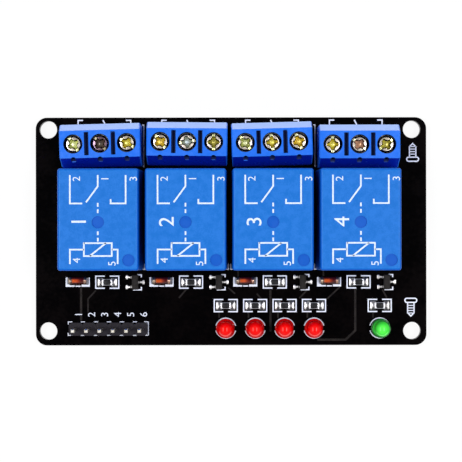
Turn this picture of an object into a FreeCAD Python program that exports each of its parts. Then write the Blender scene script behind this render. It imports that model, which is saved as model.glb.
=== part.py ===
"""Relay module board: four sealed relays, four screw terminal blocks, a pin header and small parts.

Frame: +X along the long side, +Y towards the screw terminals, +Z up.
The origin is the middle of the four mounting holes, on the underside of the board. Sizes are millimetres.
"""

import math
import os
import re

import FreeCAD
import Part
import Sketcher

doc = FreeCAD.newDocument("relay_module_board")
sheet = doc.addObject("Spreadsheet::Sheet", "Sizes")

CHANNELS = range(1, 5)
POLES = range(1, 4)
RED_LAMPS = range(1, 5)
HEADER_PINS = range(1, 7)
nodes = []


# Driving sizes, in millimetres, and angles, in degrees

SIZES = {
    # Board
    "board_length": 76.2,  # board along X
    "board_width": 44.45,  # board along Y
    "board_thickness": 1.6,  # board laminate
    "board_corner": 2.2,  # radius of the board's corners
    "board_middle_x": 0.19,  # middle of the board from the middle of the mounting holes, along X
    "board_middle_y": -0.22,  # middle of the board from the middle of the mounting holes, along Y
    "mounting_spacing_x": 70.9,  # mounting holes, centre to centre along X
    "mounting_spacing_y": 39.3,  # mounting holes, centre to centre along Y
    "mounting_hole": 3.4,  # bore of a mounting hole
    # Channels, leads and solder
    "channel_pitch": 16.35,  # from one relay to the next
    "channel_row_middle": -0.3,  # middle of the row of relays from the middle of the board, along X
    "lead_reach": 1.0,  # leads below the underside of the board
    "lead_play": 0.3,  # hole in the board over the widest part of its lead
    "solder_foot": 0.6,  # solder joint outside its lead, at the board
    "solder_tip": 0.22,  # solder joint outside its lead, at its end
    "lamp_joint_play": 0.1,  # bore of a lamp's solder joint over its lead, which may lean
    # Terminal blocks
    "terminal_line": 16.7,  # screw line of the terminal blocks from the middle of the board, along Y
    "pole_pitch": 5.08,  # from one pole of a terminal block to the next
    "terminal_length": 15.35,  # terminal block along X
    "terminal_height": 10.0,  # terminal block above the board
    "terminal_front": 3.8,  # screw line to the wire entry face
    "terminal_rear": 4.3,  # screw line to the rear face
    "bevel_depth": 1.25,  # front bevel of the terminal block, in plan
    "bevel_drop": 2.1,  # front bevel of the terminal block, in height
    "rear_slope_depth": 1.6,  # sloped upper rear face of the terminal block, in plan
    "rear_slope_drop": 4.5,  # sloped upper rear face of the terminal block, in height
    "terminal_edge": 0.2,  # broken edge of the terminal block
    "screw_hole": 3.65,  # hole over a clamp screw
    "roof_thickness": 2.0,  # housing above the cage bay
    "divider_slot_width": 0.85,  # slot between two poles, in the top face
    "divider_slot_length": 4.4,  # slot between two poles, in the top face
    "divider_slot_depth": 1.5,  # slot between two poles, in the top face
    "rear_notch": 1.0,  # notch at the upper rear edge of each pole
    "rear_notch_back": 0.3,  # middle of the notch behind that edge
    "rear_notch_depth": 1.9,  # notch at the upper rear edge of each pole
    "entry_mouth": 0.4,  # wider mouth of a wire entry, on each side and in depth
    "yaw_block_1": 1.5,  # turn of terminal block 1 on its leads, degrees
    "yaw_block_2": -0.5,  # turn of terminal block 2 on its leads, degrees
    "yaw_block_3": 1.5,  # turn of terminal block 3 on its leads, degrees
    "yaw_block_4": 0,  # turn of terminal block 4 on its leads, degrees
    "block_1_x": -0.05,  # terminal block 1 from the middle of its channel, along X
    "block_2_x": 0.12,  # terminal block 2 from the middle of its channel, along X
    "block_3_x": -0.06,  # terminal block 3 from the middle of its channel, along X
    "block_4_x": 0.22,  # terminal block 4 from the middle of its channel, along X
    "block_1_y": 0,  # terminal block 1 from the screw line, along Y
    "block_2_y": 0.3,  # terminal block 2 from the screw line, along Y
    "block_3_y": 0.25,  # terminal block 3 from the screw line, along Y
    "block_4_y": -0.2,  # terminal block 4 from the screw line, along Y
    # Wire cages and contact bars
    "cage_width": 3.7,  # wire cage across its pole
    "cage_length": 4.4,  # wire cage along the wire
    "cage_side": 0.5,  # side wall of the wire cage
    "cage_floor": 0.7,  # lower wall of the wire cage
    "cage_roof": 0.9,  # threaded upper wall of the wire cage
    "cage_rest": 0.8,  # wire cage above the board when the clamp is open
    "cage_corner": 0.35,  # outer corner of the wire cage
    "cage_play": 0.15,  # running gap between the wire cage and its bay
    "wire_gap": 2.6,  # free height between the cage floor and the contact bar, clamp open
    "bar_width": 2.4,  # contact bar across its pole
    "bar_thickness": 0.8,  # contact bar
    "bar_seat": 0.8,  # contact bar held in the front and rear walls
    "bar_play": 0.05,  # gap round the contact bar and its lead
    "terminal_lead": 0.9,  # lead of a terminal block across its pole
    # Clamp screws
    "screw_shank": 2.5,  # clamp screw thread
    "thread_play": 0.1,  # threaded hole over the clamp screw
    "screw_head": 3.1,  # clamp screw head across
    "screw_head_height": 1.2,  # clamp screw head
    "screw_edge": 0.15,  # broken edge of the clamp screw
    "screw_recess_width": 0.6,  # arms of the driver recess
    "screw_slot_depth": 0.5,  # slot of the driver recess
    "screw_cross_length": 2.0,  # cross of the driver recess
    "screw_cross_depth": 0.8,  # cross of the driver recess
    "screw_tip_gap": 0.05,  # screw tip above the contact bar
    # Relay cases
    "relay_gap": 0.45,  # relay cases from the rear of the terminal blocks
    "relay_width": 15.15,  # relay case across its top, along X
    "relay_length": 19.1,  # relay case across its top, along Y
    "relay_height": 15.4,  # relay case
    "relay_foot_extra": 0.2,  # relay case wider at its foot than at its top, on each side
    "relay_wall": 0.8,  # wall of the relay case
    "relay_roof": 0.9,  # top wall of the relay case
    "relay_edge": 0.5,  # round of the relay case's upright corners and top edges
    "dimple_width": 2.3,  # round dimples in the relay's top
    "dimple_depth": 0.25,  # round dimples in the relay's top
    "gate_dimple_y": -0.5,  # moulding dimple from the middle of the relay, along Y
    "vent_dimple_x": 5.7,  # vent dimple from the middle of the relay, along X
    "vent_dimple_y": -7.6,  # vent dimple from the middle of the relay, along Y
    # Relay bases and leads
    "base_standoff": 0.3,  # relay base above the board
    "base_thickness": 1.7,  # relay base plate
    "base_play": 0.1,  # relay base inside its case
    "relay_lead": 0.9,  # round lead of a relay
    "relay_lead_play": 0.1,  # hole in the base over its lead
    "relay_lead_end": 7.1,  # common and switched leads from the middle of the relay, along Y
    "coil_lead_line": 5.1,  # coil leads from the middle of the relay, along Y
    "relay_lead_side": 6.0,  # coil and switched leads from the middle of the relay, along X
    # Relay mechanism
    "yoke_width": 8.0,  # yoke and armature along X
    "yoke_thickness": 1.0,  # yoke plate
    "yoke_line": 7.4,  # middle of the upright yoke leg from the middle of the relay, along Y
    "coil_line": -1.4,  # coil from the middle of the relay, along Y
    "core_width": 4.0,  # iron core
    "core_play": 0.1,  # bobbin over the core
    "bobbin_wall": 0.55,  # bobbin tube
    "bobbin_width": 9.8,  # bobbin flanges, square
    "bobbin_height": 7.4,  # bobbin
    "bobbin_flange": 0.7,  # bobbin flanges
    "bobbin_corner": 1.2,  # corners of the bobbin flanges
    "winding_width": 9.2,  # winding
    "armature_gap": 0.42,  # open gap between the core and the armature
    "armature_thickness": 0.9,  # armature plate
    "armature_end": 2.2,  # armature beyond the coil's axis, along Y
    "armature_rest_gap": 0.06,  # armature above the edge of the yoke
    "leaf_width": 3.0,  # contact leaf
    "leaf_thickness": 0.2,  # contact leaf
    "contact_line": 6.1,  # contacts from the middle of the relay, along Y
    "contact_width": 2.0,  # moving contact button
    "fixed_contact_width": 1.5,  # fixed contact buttons
    "contact_height": 0.3,  # contact buttons on each face
    "contact_travel": 0.66,  # drop of the moving contact
    "contact_gap": 0.05,  # gap left at either stop of the moving contact
    "blade_width": 1.6,  # fixed contact blades
    "blade_thickness": 0.5,  # fixed contact blades
    # Pin header
    "header_line": -18.95,  # pin header from the middle of the board, along Y
    "header_middle": -23.85,  # middle of the pin header from the middle of the board, along X
    "header_pitch": 2.54,  # from one header pin to the next
    "header_depth": 2.5,  # pin header housing along Y
    "header_height": 2.54,  # pin header housing
    "header_corner": 0.45,  # notches between the cells of the header housing
    "header_pin": 0.64,  # square header pin
    "header_pin_play": 0.04,  # hole in the header housing over its pin
    "header_pin_top": 8.6,  # tips of the header pins above the board
    "header_pin_tip": 0.18,  # chamfer at the ends of a header pin
    # Lamps
    "lamp_row_gap": 4.4,  # indicator lamps from the lower row
    "lamp_first": -1.06,  # first red lamp from the middle of the board, along X
    "lamp_pitch": 5.74,  # from one red lamp to the next
    "green_lamp": 28.98,  # green lamp from the middle of the board, along X
    "green_lean": 3.5,  # lean of the green lamp, degrees
    "lamp_width": 3.0,  # lamp barrel
    "lamp_flange": 3.8,  # lamp flange
    "lamp_flange_height": 0.9,  # lamp flange
    "lamp_flat": 1.65,  # cathode flat from the lamp's axis
    "lamp_standoff": 0.5,  # lamp above the board
    "lamp_height": 4.9,  # lamp from the foot of its flange to the top of its dome
    "lamp_lead": 0.5,  # square lamp lead
    "lamp_lead_pitch": 2.54,  # lamp leads, centre to centre
    # Small parts on the board's top
    "upper_row_gap": 2.35,  # row of diodes, resistors and transistors from the relay cases
    "lower_row_gap": 4.6,  # row of lamp resistors from the upper row
    "diode_offset": -5.1,  # diode from the middle of its channel, along X
    "diode_rise": 0.3,  # diode from the row of chip resistors, along Y
    "resistor_offset": 0.65,  # resistor from the middle of its channel, along X
    "transistor_offset": 6.1,  # transistor from the middle of its channel, along X
    "pad_thickness": 0.06,  # tinned pad under a surface part
    "chip_length": 2.0,  # chip resistor
    "chip_width": 1.25,  # chip resistor
    "chip_height": 0.5,  # chip resistor at its end caps
    "chip_cap": 0.35,  # end cap of a chip resistor
    "chip_step": 0.05,  # end cap above the body of a chip resistor
    "chip_solder_width": 1.68,  # pad of a chip resistor
    "chip_solder_reach": 0.875,  # pad of a chip resistor beyond its end
    "chip_solder_height": 0.42,  # solder at the end of a chip resistor
    "diode_length": 3.5,  # glass diode
    "diode_glass": 1.4,  # glass of the diode across
    "diode_cap_width": 1.5,  # end cap of the diode across
    "diode_cap": 0.45,  # end cap of the diode
    "diode_solder_width": 1.6,  # pad of a diode
    "diode_solder_reach": 0.6,  # pad of a diode beyond its end
    "diode_solder_height": 0.8,  # solder at the end of a diode
    "transistor_length": 2.9,  # transistor body along Y
    "transistor_width": 1.3,  # transistor body along X
    "transistor_height": 0.95,  # transistor body
    "transistor_draft": 7,  # draft of the transistor's faces, degrees
    "transistor_standoff": 0.1,  # transistor body above its pads
    "transistor_lead_pitch": 1.9,  # two leads on one side of the transistor
    "transistor_lead": 0.42,  # transistor lead across
    "transistor_lead_thickness": 0.13,  # transistor lead
    "transistor_lead_foot": 0.4,  # foot of a transistor lead
    "transistor_span": 2.4,  # transistor over its leads
    "transistor_pad_width": 0.8,  # pad of a transistor lead
    "transistor_pad_reach": 0.35,  # pad beyond a transistor lead
    "transistor_solder_height": 0.16,  # solder at the end of a transistor lead
}

# Slots of the clamp screws from +X, block by block
SCREW_TURNS = ((-55, -48, -31), (-52, 9, 90), (-50, -82, -68), (90, -39, 36))
for channel, turns in zip(CHANNELS, SCREW_TURNS):
    for pole, turn in zip(POLES, turns):
        SIZES[f"screw_turn_{channel}_{pole}"] = turn

for row, (alias, value) in enumerate(SIZES.items(), 1):
    sheet.set(f"A{row}", alias.replace("_", " "))
    sheet.set(f"B{row}", str(value))
    sheet.setAlias(f"B{row}", alias)
doc.recompute()

ALIAS_WORD = re.compile(r"\b(" + "|".join(sorted(SIZES, key=len, reverse=True)) + r")\b")

# How near an edge lies to the plane or the direction that it is picked by
CLOSE = 0.01


# Helpers


def formula(text):
    """Turn a formula in aliases into one that any object can hold."""
    return ALIAS_WORD.sub(r"Sizes.\1", str(text))


def number(text):
    """Work a formula out with the sheet as it is now."""
    result = sheet.evalExpression(str(text))
    return float(getattr(result, "Value", result))


def bind(obj, **properties):
    """Bind properties of an object to formulas."""
    for name, text in properties.items():
        obj.setExpression(name, formula(text))


def place(obj, x="0", y="0", z="0", yaw="0"):
    """Bind where an object stands and how far it is turned about the vertical."""
    for axis, text in (("x", x), ("y", y), ("z", z)):
        obj.setExpression(f"Placement.Base.{axis}", formula(text))
    obj.setExpression("Placement.Rotation.Yaw", formula(yaw))


def new_body(name):
    """Start a body whose features may be separate solids."""
    body = doc.addObject("PartDesign::Body", name)
    body.AllowCompound = True
    return body


def origin_feature(body, role):
    """Find a plane or an axis of a body's own origin."""
    return next(feature for feature in body.Origin.OriginFeatures if feature.Role == role)


def sketch_on(body, role, height="0"):
    """Start a sketch on a plane of the body's origin, lifted along that plane's normal."""
    count = sum(1 for obj in body.Group if obj.isDerivedFrom("Sketcher::SketchObject"))
    sketch = body.newObject("Sketcher::SketchObject", f"{body.Name}_sketch_{count + 1}")
    sketch.AttachmentSupport = [(origin_feature(body, role), "")]
    sketch.MapMode = "FlatFace"
    sketch.setExpression("AttachmentOffset.Base.z", formula(height))
    return sketch


def fix_point(sketch, geometry, position, x, y):
    """Hold one point of a sketch at formulas for its two coordinates."""
    for kind, text in (("DistanceX", x), ("DistanceY", y)):
        constraint = Sketcher.Constraint(kind, -1, 1, geometry, position, number(text))
        index = sketch.addConstraint(constraint)
        sketch.setExpression(f"Constraints[{index}]", formula(text))


def draw_outline(sketch, corners):
    """Draw a closed outline through corners, each a pair of formulas."""
    points = [FreeCAD.Vector(number(x), number(y), 0) for x, y in corners]
    first = sketch.GeometryCount
    for index, point in enumerate(points):
        following = points[(index + 1) % len(points)]
        sketch.addGeometry(Part.LineSegment(point, following), False)
    for index, (x, y) in enumerate(corners):
        following = first + (index + 1) % len(corners)
        sketch.addConstraint(Sketcher.Constraint("Coincident", first + index, 2, following, 1))
        fix_point(sketch, first + index, 1, x, y)


def draw_box(sketch, x_low, x_high, y_low, y_high):
    """Draw a rectangle between four formulas."""
    draw_outline(sketch, [(x_low, y_low), (x_high, y_low), (x_high, y_high), (x_low, y_high)])


def draw_centred_box(sketch, width, height, x="0", y="0"):
    """Draw a rectangle about a middle point."""
    draw_box(
        sketch,
        f"({x}) - ({width}) / 2",
        f"({x}) + ({width}) / 2",
        f"({y}) - ({height}) / 2",
        f"({y}) + ({height}) / 2",
    )


def draw_circle(sketch, diameter, x="0", y="0"):
    """Draw a circle of a given diameter about a middle point."""
    centre = FreeCAD.Vector(number(x), number(y), 0)
    radius = number(diameter) / 2
    index = sketch.addGeometry(Part.Circle(centre, FreeCAD.Vector(0, 0, 1), radius), False)
    ring = sketch.addConstraint(Sketcher.Constraint("Diameter", index, 2 * radius))
    sketch.setExpression(f"Constraints[{ring}]", formula(diameter))
    fix_point(sketch, index, 3, x, y)


def pad(body, sketch, length, middle=False, down=False):
    """Raise a sketch by a length, to one side or to both."""
    feature = body.newObject("PartDesign::Pad", f"{sketch.Name}_pad")
    feature.Profile = sketch
    feature.Midplane = middle
    feature.Reversed = down
    bind(feature, Length=length)
    return feature


def pocket(body, sketch, depth, up=False):
    """Cut a sketch into the body by a depth, along or against the sketch's normal."""
    feature = body.newObject("PartDesign::Pocket", f"{sketch.Name}_pocket")
    feature.Profile = sketch
    feature.Reversed = up
    bind(feature, Length=depth)
    return feature


def row_of(body, originals, axis, count, pitch):
    """Repeat features along an axis of the body's origin."""
    feature = body.newObject("PartDesign::LinearPattern", f"{originals[0].Name}_row")
    feature.Originals = originals
    feature.Direction = (origin_feature(body, axis), [""])
    feature.Mode = "Extent"
    feature.Occurrences = count
    bind(feature, Length=f"{count - 1} * ({pitch})")
    body.Tip = feature
    return feature


def revolve(body, sketch, axis="Z_Axis"):
    """Turn a profile about an axis of the body's origin."""
    feature = body.newObject("PartDesign::Revolution", f"{sketch.Name}_turn")
    feature.Profile = sketch
    feature.ReferenceAxis = (origin_feature(body, axis), [""])
    feature.Angle = 360
    return feature


def edges_where(feature, test):
    """Name the edges of a feature whose middle point and direction pass a test."""
    doc.recompute()
    names = []
    for index, edge in enumerate(feature.Shape.Edges, 1):
        middle = edge.valueAt((edge.FirstParameter + edge.LastParameter) / 2)
        direction = edge.tangentAt((edge.FirstParameter + edge.LastParameter) / 2)
        if test(middle, direction):
            names.append(f"Edge{index}")
    return names


def round_edges(body, base, test, radius):
    """Round the edges that pass a test."""
    feature = body.newObject("PartDesign::Fillet", f"{base.Name}_round")
    feature.Base = (base, edges_where(base, test))
    bind(feature, Radius=radius)
    return feature


def bevel_edges(body, base, test, width):
    """Break the edges that pass a test."""
    feature = body.newObject("PartDesign::Chamfer", f"{base.Name}_bevel")
    feature.Base = (base, edges_where(base, test))
    bind(feature, Size=width)
    return feature


def group(name, members):
    """Join objects into one compound that stands where they stand."""
    compound = doc.addObject("Part::Compound", name)
    compound.Links = members
    return compound


def copy_of(form, name, **where):
    """Stand a copy of a form somewhere else."""
    copy = group(name, [form])
    place(copy, **where)
    return copy


def node(obj, label):
    """Keep an object as a sub-part of the assembly."""
    obj.Label = label
    nodes.append(obj)
    return obj


def channel_x(channel):
    """Middle of a channel along X."""
    step = channel - (len(CHANNELS) + 1) / 2
    return f"(board_middle_x + channel_row_middle + {step} * channel_pitch)"


# Lines across the board, from its middle along Y
RELAY_HALF = "(relay_length / 2 + relay_foot_extra)"
RELAY_LINE = f"(terminal_line - terminal_rear - relay_gap - {RELAY_HALF})"
UPPER_ROW = f"({RELAY_LINE} - {RELAY_HALF} - upper_row_gap)"
LOWER_ROW = f"({UPPER_ROW} - lower_row_gap)"
LAMP_LINE = f"({LOWER_ROW} - lamp_row_gap)"


def row_y(line):
    """A line across the board, along Y."""
    return f"(board_middle_y + {line})"


def block_x(channel):
    """Middle of a terminal block, along X."""
    return f"({channel_x(channel)} + block_{channel}_x)"


def block_y(channel):
    """Screw line of a terminal block, along Y."""
    return f"({row_y('terminal_line')} + block_{channel}_y)"


def pole_x(pole):
    """Middle of a pole along X, from the middle of its terminal block."""
    return f"{pole - (len(POLES) + 1) / 2} * pole_pitch"


# Heights that several sub-parts share, above the top of the board
BAR_BOTTOM = "(cage_rest + cage_floor + wire_gap)"
BAR_TOP = f"({BAR_BOTTOM} + bar_thickness)"
CAGE_INNER_TOP = f"({BAR_TOP} + 2 * screw_tip_gap)"
SCREW_TIP = f"({BAR_TOP} + screw_tip_gap)"
BAY_TOP = "(terminal_height - roof_thickness)"
BASE_TOP = "(base_standoff + base_thickness)"
YOKE_FOOT_TOP = f"({BASE_TOP} + yoke_thickness)"
CORE_TOP = f"({YOKE_FOOT_TOP} + bobbin_height + armature_gap / 2)"
ARMATURE_BOTTOM = f"({CORE_TOP} + armature_gap)"
LEAF_BOTTOM = f"({ARMATURE_BOTTOM} + armature_thickness)"
CONTACT_BOTTOM = f"({LEAF_BOTTOM} - contact_height)"
CONTACT_TOP = f"({LEAF_BOTTOM} + leaf_thickness + contact_height)"

# Places and widths that several sub-parts share
BAY_WIDTH = "(cage_width + 2 * cage_play)"
BAY_HALF_LENGTH = "(cage_length / 2 + 2 * cage_play)"
TERMINAL_LEAD_Y = f"(-{BAY_HALF_LENGTH} - bar_seat / 2)"
TERMINAL_LEAD_ACROSS = "sqrt(terminal_lead ^ 2 + bar_seat ^ 2)"
HEADER_PIN_ACROSS = "sqrt(2) * header_pin"
LAMP_LEAD_ACROSS = "(sqrt(2) * lamp_lead)"
LAMP_JOINT_BORE = f"({LAMP_LEAD_ACROSS} + lamp_joint_play)"
RELAY_LEADS = {
    "common": ("0", "-relay_lead_end"),
    "coil_left": ("-relay_lead_side", "-coil_lead_line"),
    "coil_right": ("relay_lead_side", "-coil_lead_line"),
    "closed_contact": ("-relay_lead_side", "relay_lead_end"),
    "open_contact": ("relay_lead_side", "relay_lead_end"),
}
TRANSISTOR_LEADS = ((-1, -1), (-1, 1), (1, 0))


def red_lamp_x(lamp):
    """Middle of a red lamp along X."""
    return f"(board_middle_x + lamp_first + {lamp - 1} * lamp_pitch)"


def header_pin_x(pin):
    """Middle of a header pin along X."""
    step = pin - (len(HEADER_PINS) + 1) / 2
    return f"(board_middle_x + header_middle + {step} * header_pitch)"


GREEN_LAMP_X = "(board_middle_x + green_lamp)"


# The board


def make_board():
    """Laminate with rounded corners, four mounting holes and a hole for each lead."""
    body = new_body("circuit_board")
    outline = sketch_on(body, "XY_Plane")
    draw_centred_box(outline, "board_length", "board_width", "board_middle_x", "board_middle_y")
    slab = pad(body, outline, "board_thickness")
    body.Tip = round_edges(
        body,
        slab,
        lambda middle, direction: abs(abs(direction.z) - 1) < CLOSE,
        "board_corner",
    )
    mounting = sketch_on(body, "XY_Plane")
    for side_x in (-1, 1):
        for side_y in (-1, 1):
            x = f"{side_x} * mounting_spacing_x / 2"
            y = f"{side_y} * mounting_spacing_y / 2"
            draw_circle(mounting, "mounting_hole", x, y)
    pocket(body, mounting, "board_thickness", up=True)
    relays = sketch_on(body, "XY_Plane")
    for lead_x, lead_y in RELAY_LEADS.values():
        x = f"{channel_x(1)} + ({lead_x})"
        y = f"{row_y(RELAY_LINE)} + ({lead_y})"
        draw_circle(relays, "relay_lead + lead_play", x, y)
    relay_holes = pocket(body, relays, "board_thickness", up=True)
    row_of(body, [relay_holes], "X_Axis", len(CHANNELS), "channel_pitch")
    terminals = sketch_on(body, "XY_Plane")
    for channel in CHANNELS:
        for pole in POLES:
            x = f"{block_x(channel)} + {pole_x(pole)}"
            y = f"{block_y(channel)} + {TERMINAL_LEAD_Y}"
            draw_circle(terminals, f"{TERMINAL_LEAD_ACROSS} + lead_play", x, y)
    pocket(body, terminals, "board_thickness", up=True)
    header = sketch_on(body, "XY_Plane")
    draw_circle(header, f"{HEADER_PIN_ACROSS} + lead_play / 2", header_pin_x(1), row_y("header_line"))
    header_holes = pocket(body, header, "board_thickness", up=True)
    row_of(body, [header_holes], "X_Axis", len(HEADER_PINS), "header_pitch")
    lamps = sketch_on(body, "XY_Plane")
    for side in (-1, 1):
        x = f"{red_lamp_x(1)} + {side} * lamp_lead_pitch / 2"
        draw_circle(lamps, f"{LAMP_LEAD_ACROSS} + lead_play", x, row_y(LAMP_LINE))
    lamp_holes = pocket(body, lamps, "board_thickness", up=True)
    row_of(body, [lamp_holes], "X_Axis", len(RED_LAMPS), "lamp_pitch")
    green = sketch_on(body, "XY_Plane")
    for side in (-1, 1):
        x = f"{GREEN_LAMP_X} + {side} * lamp_lead_pitch / 2"
        draw_circle(green, f"{LAMP_LEAD_ACROSS} + lead_play", x, row_y(LAMP_LINE))
    pocket(body, green, "board_thickness", up=True)
    node(body, "circuit_board")


# Solder


def solder_joint(name, across, x, y):
    """One joint under the board: a cone round a lead, with the lead's own hole through it."""
    cone = doc.addObject("Part::Cone", f"{name}_cone")
    bore = doc.addObject("Part::Cylinder", f"{name}_bore")
    bind(cone, Radius1=f"({across}) / 2 + solder_tip", Radius2=f"({across}) / 2 + solder_foot")
    bind(cone, Height="lead_reach")
    bind(bore, Radius=f"({across}) / 2", Height="lead_reach")
    joint = doc.addObject("Part::Cut", name)
    joint.Base = cone
    joint.Tool = bore
    place(joint, x=x, y=y, z="-lead_reach")
    return joint


def make_pin_solder():
    """The joints of all leads that pass through the board."""
    joints = []
    relay_joints = [
        solder_joint(f"relay_joint_{lead}", "relay_lead", x, y)
        for lead, (x, y) in RELAY_LEADS.items()
    ]
    relay_form = group("relay_joint_form", relay_joints)
    terminal_joints = [
        solder_joint(f"terminal_joint_{pole}", TERMINAL_LEAD_ACROSS, pole_x(pole), TERMINAL_LEAD_Y)
        for pole in POLES
    ]
    terminal_form = group("terminal_joint_form", terminal_joints)
    for channel in CHANNELS:
        x = channel_x(channel)
        joints.append(copy_of(relay_form, f"relay_joints_{channel}", x=x, y=row_y(RELAY_LINE)))
        block = {"x": block_x(channel), "y": block_y(channel), "yaw": f"yaw_block_{channel}"}
        joints.append(copy_of(terminal_form, f"terminal_joints_{channel}", **block))
    for pin in HEADER_PINS:
        name = f"header_joint_{pin}"
        joints.append(solder_joint(name, HEADER_PIN_ACROSS, header_pin_x(pin), row_y("header_line")))
    lamp_places = [red_lamp_x(lamp) for lamp in RED_LAMPS] + [GREEN_LAMP_X]
    for index, lamp_place in enumerate(lamp_places, 1):
        for side in (-1, 1):
            x = f"{lamp_place} + {side} * lamp_lead_pitch / 2"
            name = f"lamp_joint_{index}_{'left' if side < 0 else 'right'}"
            joints.append(solder_joint(name, LAMP_JOINT_BORE, x, row_y(LAMP_LINE)))
    node(group("pin_solder", joints), "pin_solder")


def solder_fillet(name, width, under, reach, rise):
    """A tinned pad that lies under a part's end and slopes up to its end face at X = 0."""
    body = new_body(name)
    side = sketch_on(body, "XZ_Plane")
    draw_outline(
        side,
        [
            (f"-({under})", "0"),
            (reach, "0"),
            (reach, "pad_thickness"),
            ("0", f"pad_thickness + {rise}"),
            ("0", "pad_thickness"),
            (f"-({under})", "pad_thickness"),
        ],
    )
    pad(body, side, width, middle=True)
    return body


def fillet_pair(name, form, length):
    """Stand a solder fillet at each end of a part that lies along X."""
    right = copy_of(form, f"{name}_right", x=f"{length} / 2")
    left = copy_of(form, f"{name}_left", x=f"-{length} / 2", yaw="180")
    return group(name, [left, right])


def make_surface_solder():
    """The tinned pads and fillets of all parts that lie on the board's top."""
    chip_end = solder_fillet(
        "chip_fillet", "chip_solder_width", "chip_cap", "chip_solder_reach", "chip_solder_height"
    )
    chip_pair = fillet_pair("chip_fillets", chip_end, "chip_length")
    diode_end = solder_fillet(
        "diode_fillet", "diode_solder_width", "diode_cap", "diode_solder_reach", "diode_solder_height"
    )
    diode_pair = fillet_pair("diode_fillets", diode_end, "diode_length")
    lead_end = solder_fillet(
        "lead_fillet",
        "transistor_pad_width",
        "transistor_lead_foot",
        "transistor_pad_reach",
        "transistor_solder_height",
    )
    lead_ends = []
    for index, (x_side, y_side) in enumerate(TRANSISTOR_LEADS):
        x = f"{x_side} * transistor_span / 2"
        y = f"{y_side} * transistor_lead_pitch / 2"
        yaw = "0" if x_side > 0 else "180"
        lead_ends.append(copy_of(lead_end, f"lead_fillet_{index}", x=x, y=y, yaw=yaw))
    lead_group = group("lead_fillets", lead_ends)
    members = []
    for index, (x, y) in enumerate(resistor_places()):
        members.append(copy_of(chip_pair, f"resistor_solder_{index}", x=x, y=y, z="board_thickness"))
    for channel in CHANNELS:
        y = row_y(UPPER_ROW)
        x = f"{channel_x(channel)} + diode_offset"
        diode_y = f"{y} + diode_rise"
        members.append(copy_of(diode_pair, f"diode_solder_{channel}", x=x, y=diode_y, z="board_thickness"))
        x = f"{channel_x(channel)} + transistor_offset"
        members.append(copy_of(lead_group, f"transistor_solder_{channel}", x=x, y=y, z="board_thickness"))
    node(group("surface_solder", members), "surface_solder")


# Small parts on the board's top


def resistor_places():
    """Middles of the nine chip resistors."""
    upper = [(f"{channel_x(channel)} + resistor_offset", row_y(UPPER_ROW)) for channel in CHANNELS]
    lower = [(red_lamp_x(lamp), row_y(LOWER_ROW)) for lamp in RED_LAMPS]
    return upper + lower + [(GREEN_LAMP_X, row_y(LOWER_ROW))]


def make_resistors():
    """Flat ceramic chips with an end cap at each end that stands a little proud."""
    body = new_body("chip_form")
    side = sketch_on(body, "XZ_Plane")
    half = "chip_length / 2"
    inner = "(chip_length / 2 - chip_cap)"
    low = "chip_height - chip_step"
    draw_outline(
        side,
        [
            (f"-{half}", "0"),
            (half, "0"),
            (half, "chip_height"),
            (inner, "chip_height"),
            (inner, low),
            (f"-{inner}", low),
            (f"-{inner}", "chip_height"),
            (f"-{half}", "chip_height"),
        ],
    )
    pad(body, side, "chip_width", middle=True)
    z = "board_thickness + pad_thickness"
    members = [
        copy_of(body, f"chip_resistor_{index}", x=x, y=y, z=z)
        for index, (x, y) in enumerate(resistor_places(), 1)
    ]
    node(group("chip_resistors", members), "chip_resistors")


def make_diodes():
    """Glass cylinders with a wider metal cap at each end, lying along X."""
    body = new_body("diode_form")
    profile = sketch_on(body, "XZ_Plane")
    half = "diode_length / 2"
    inner = "(diode_length / 2 - diode_cap)"
    cap = "diode_cap_width / 2"
    glass = "diode_glass / 2"
    draw_outline(
        profile,
        [
            (f"-{half}", "0"),
            (f"-{half}", cap),
            (f"-{inner}", cap),
            (f"-{inner}", glass),
            (inner, glass),
            (inner, cap),
            (half, cap),
            (half, "0"),
        ],
    )
    revolve(body, profile, "X_Axis")
    y = f"{row_y(UPPER_ROW)} + diode_rise"
    z = "board_thickness + pad_thickness + diode_cap_width / 2"
    members = []
    for channel in CHANNELS:
        x = f"{channel_x(channel)} + diode_offset"
        members.append(copy_of(body, f"glass_diode_{channel}", x=x, y=y, z=z))
    node(group("glass_diodes", members), "glass_diodes")


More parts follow.
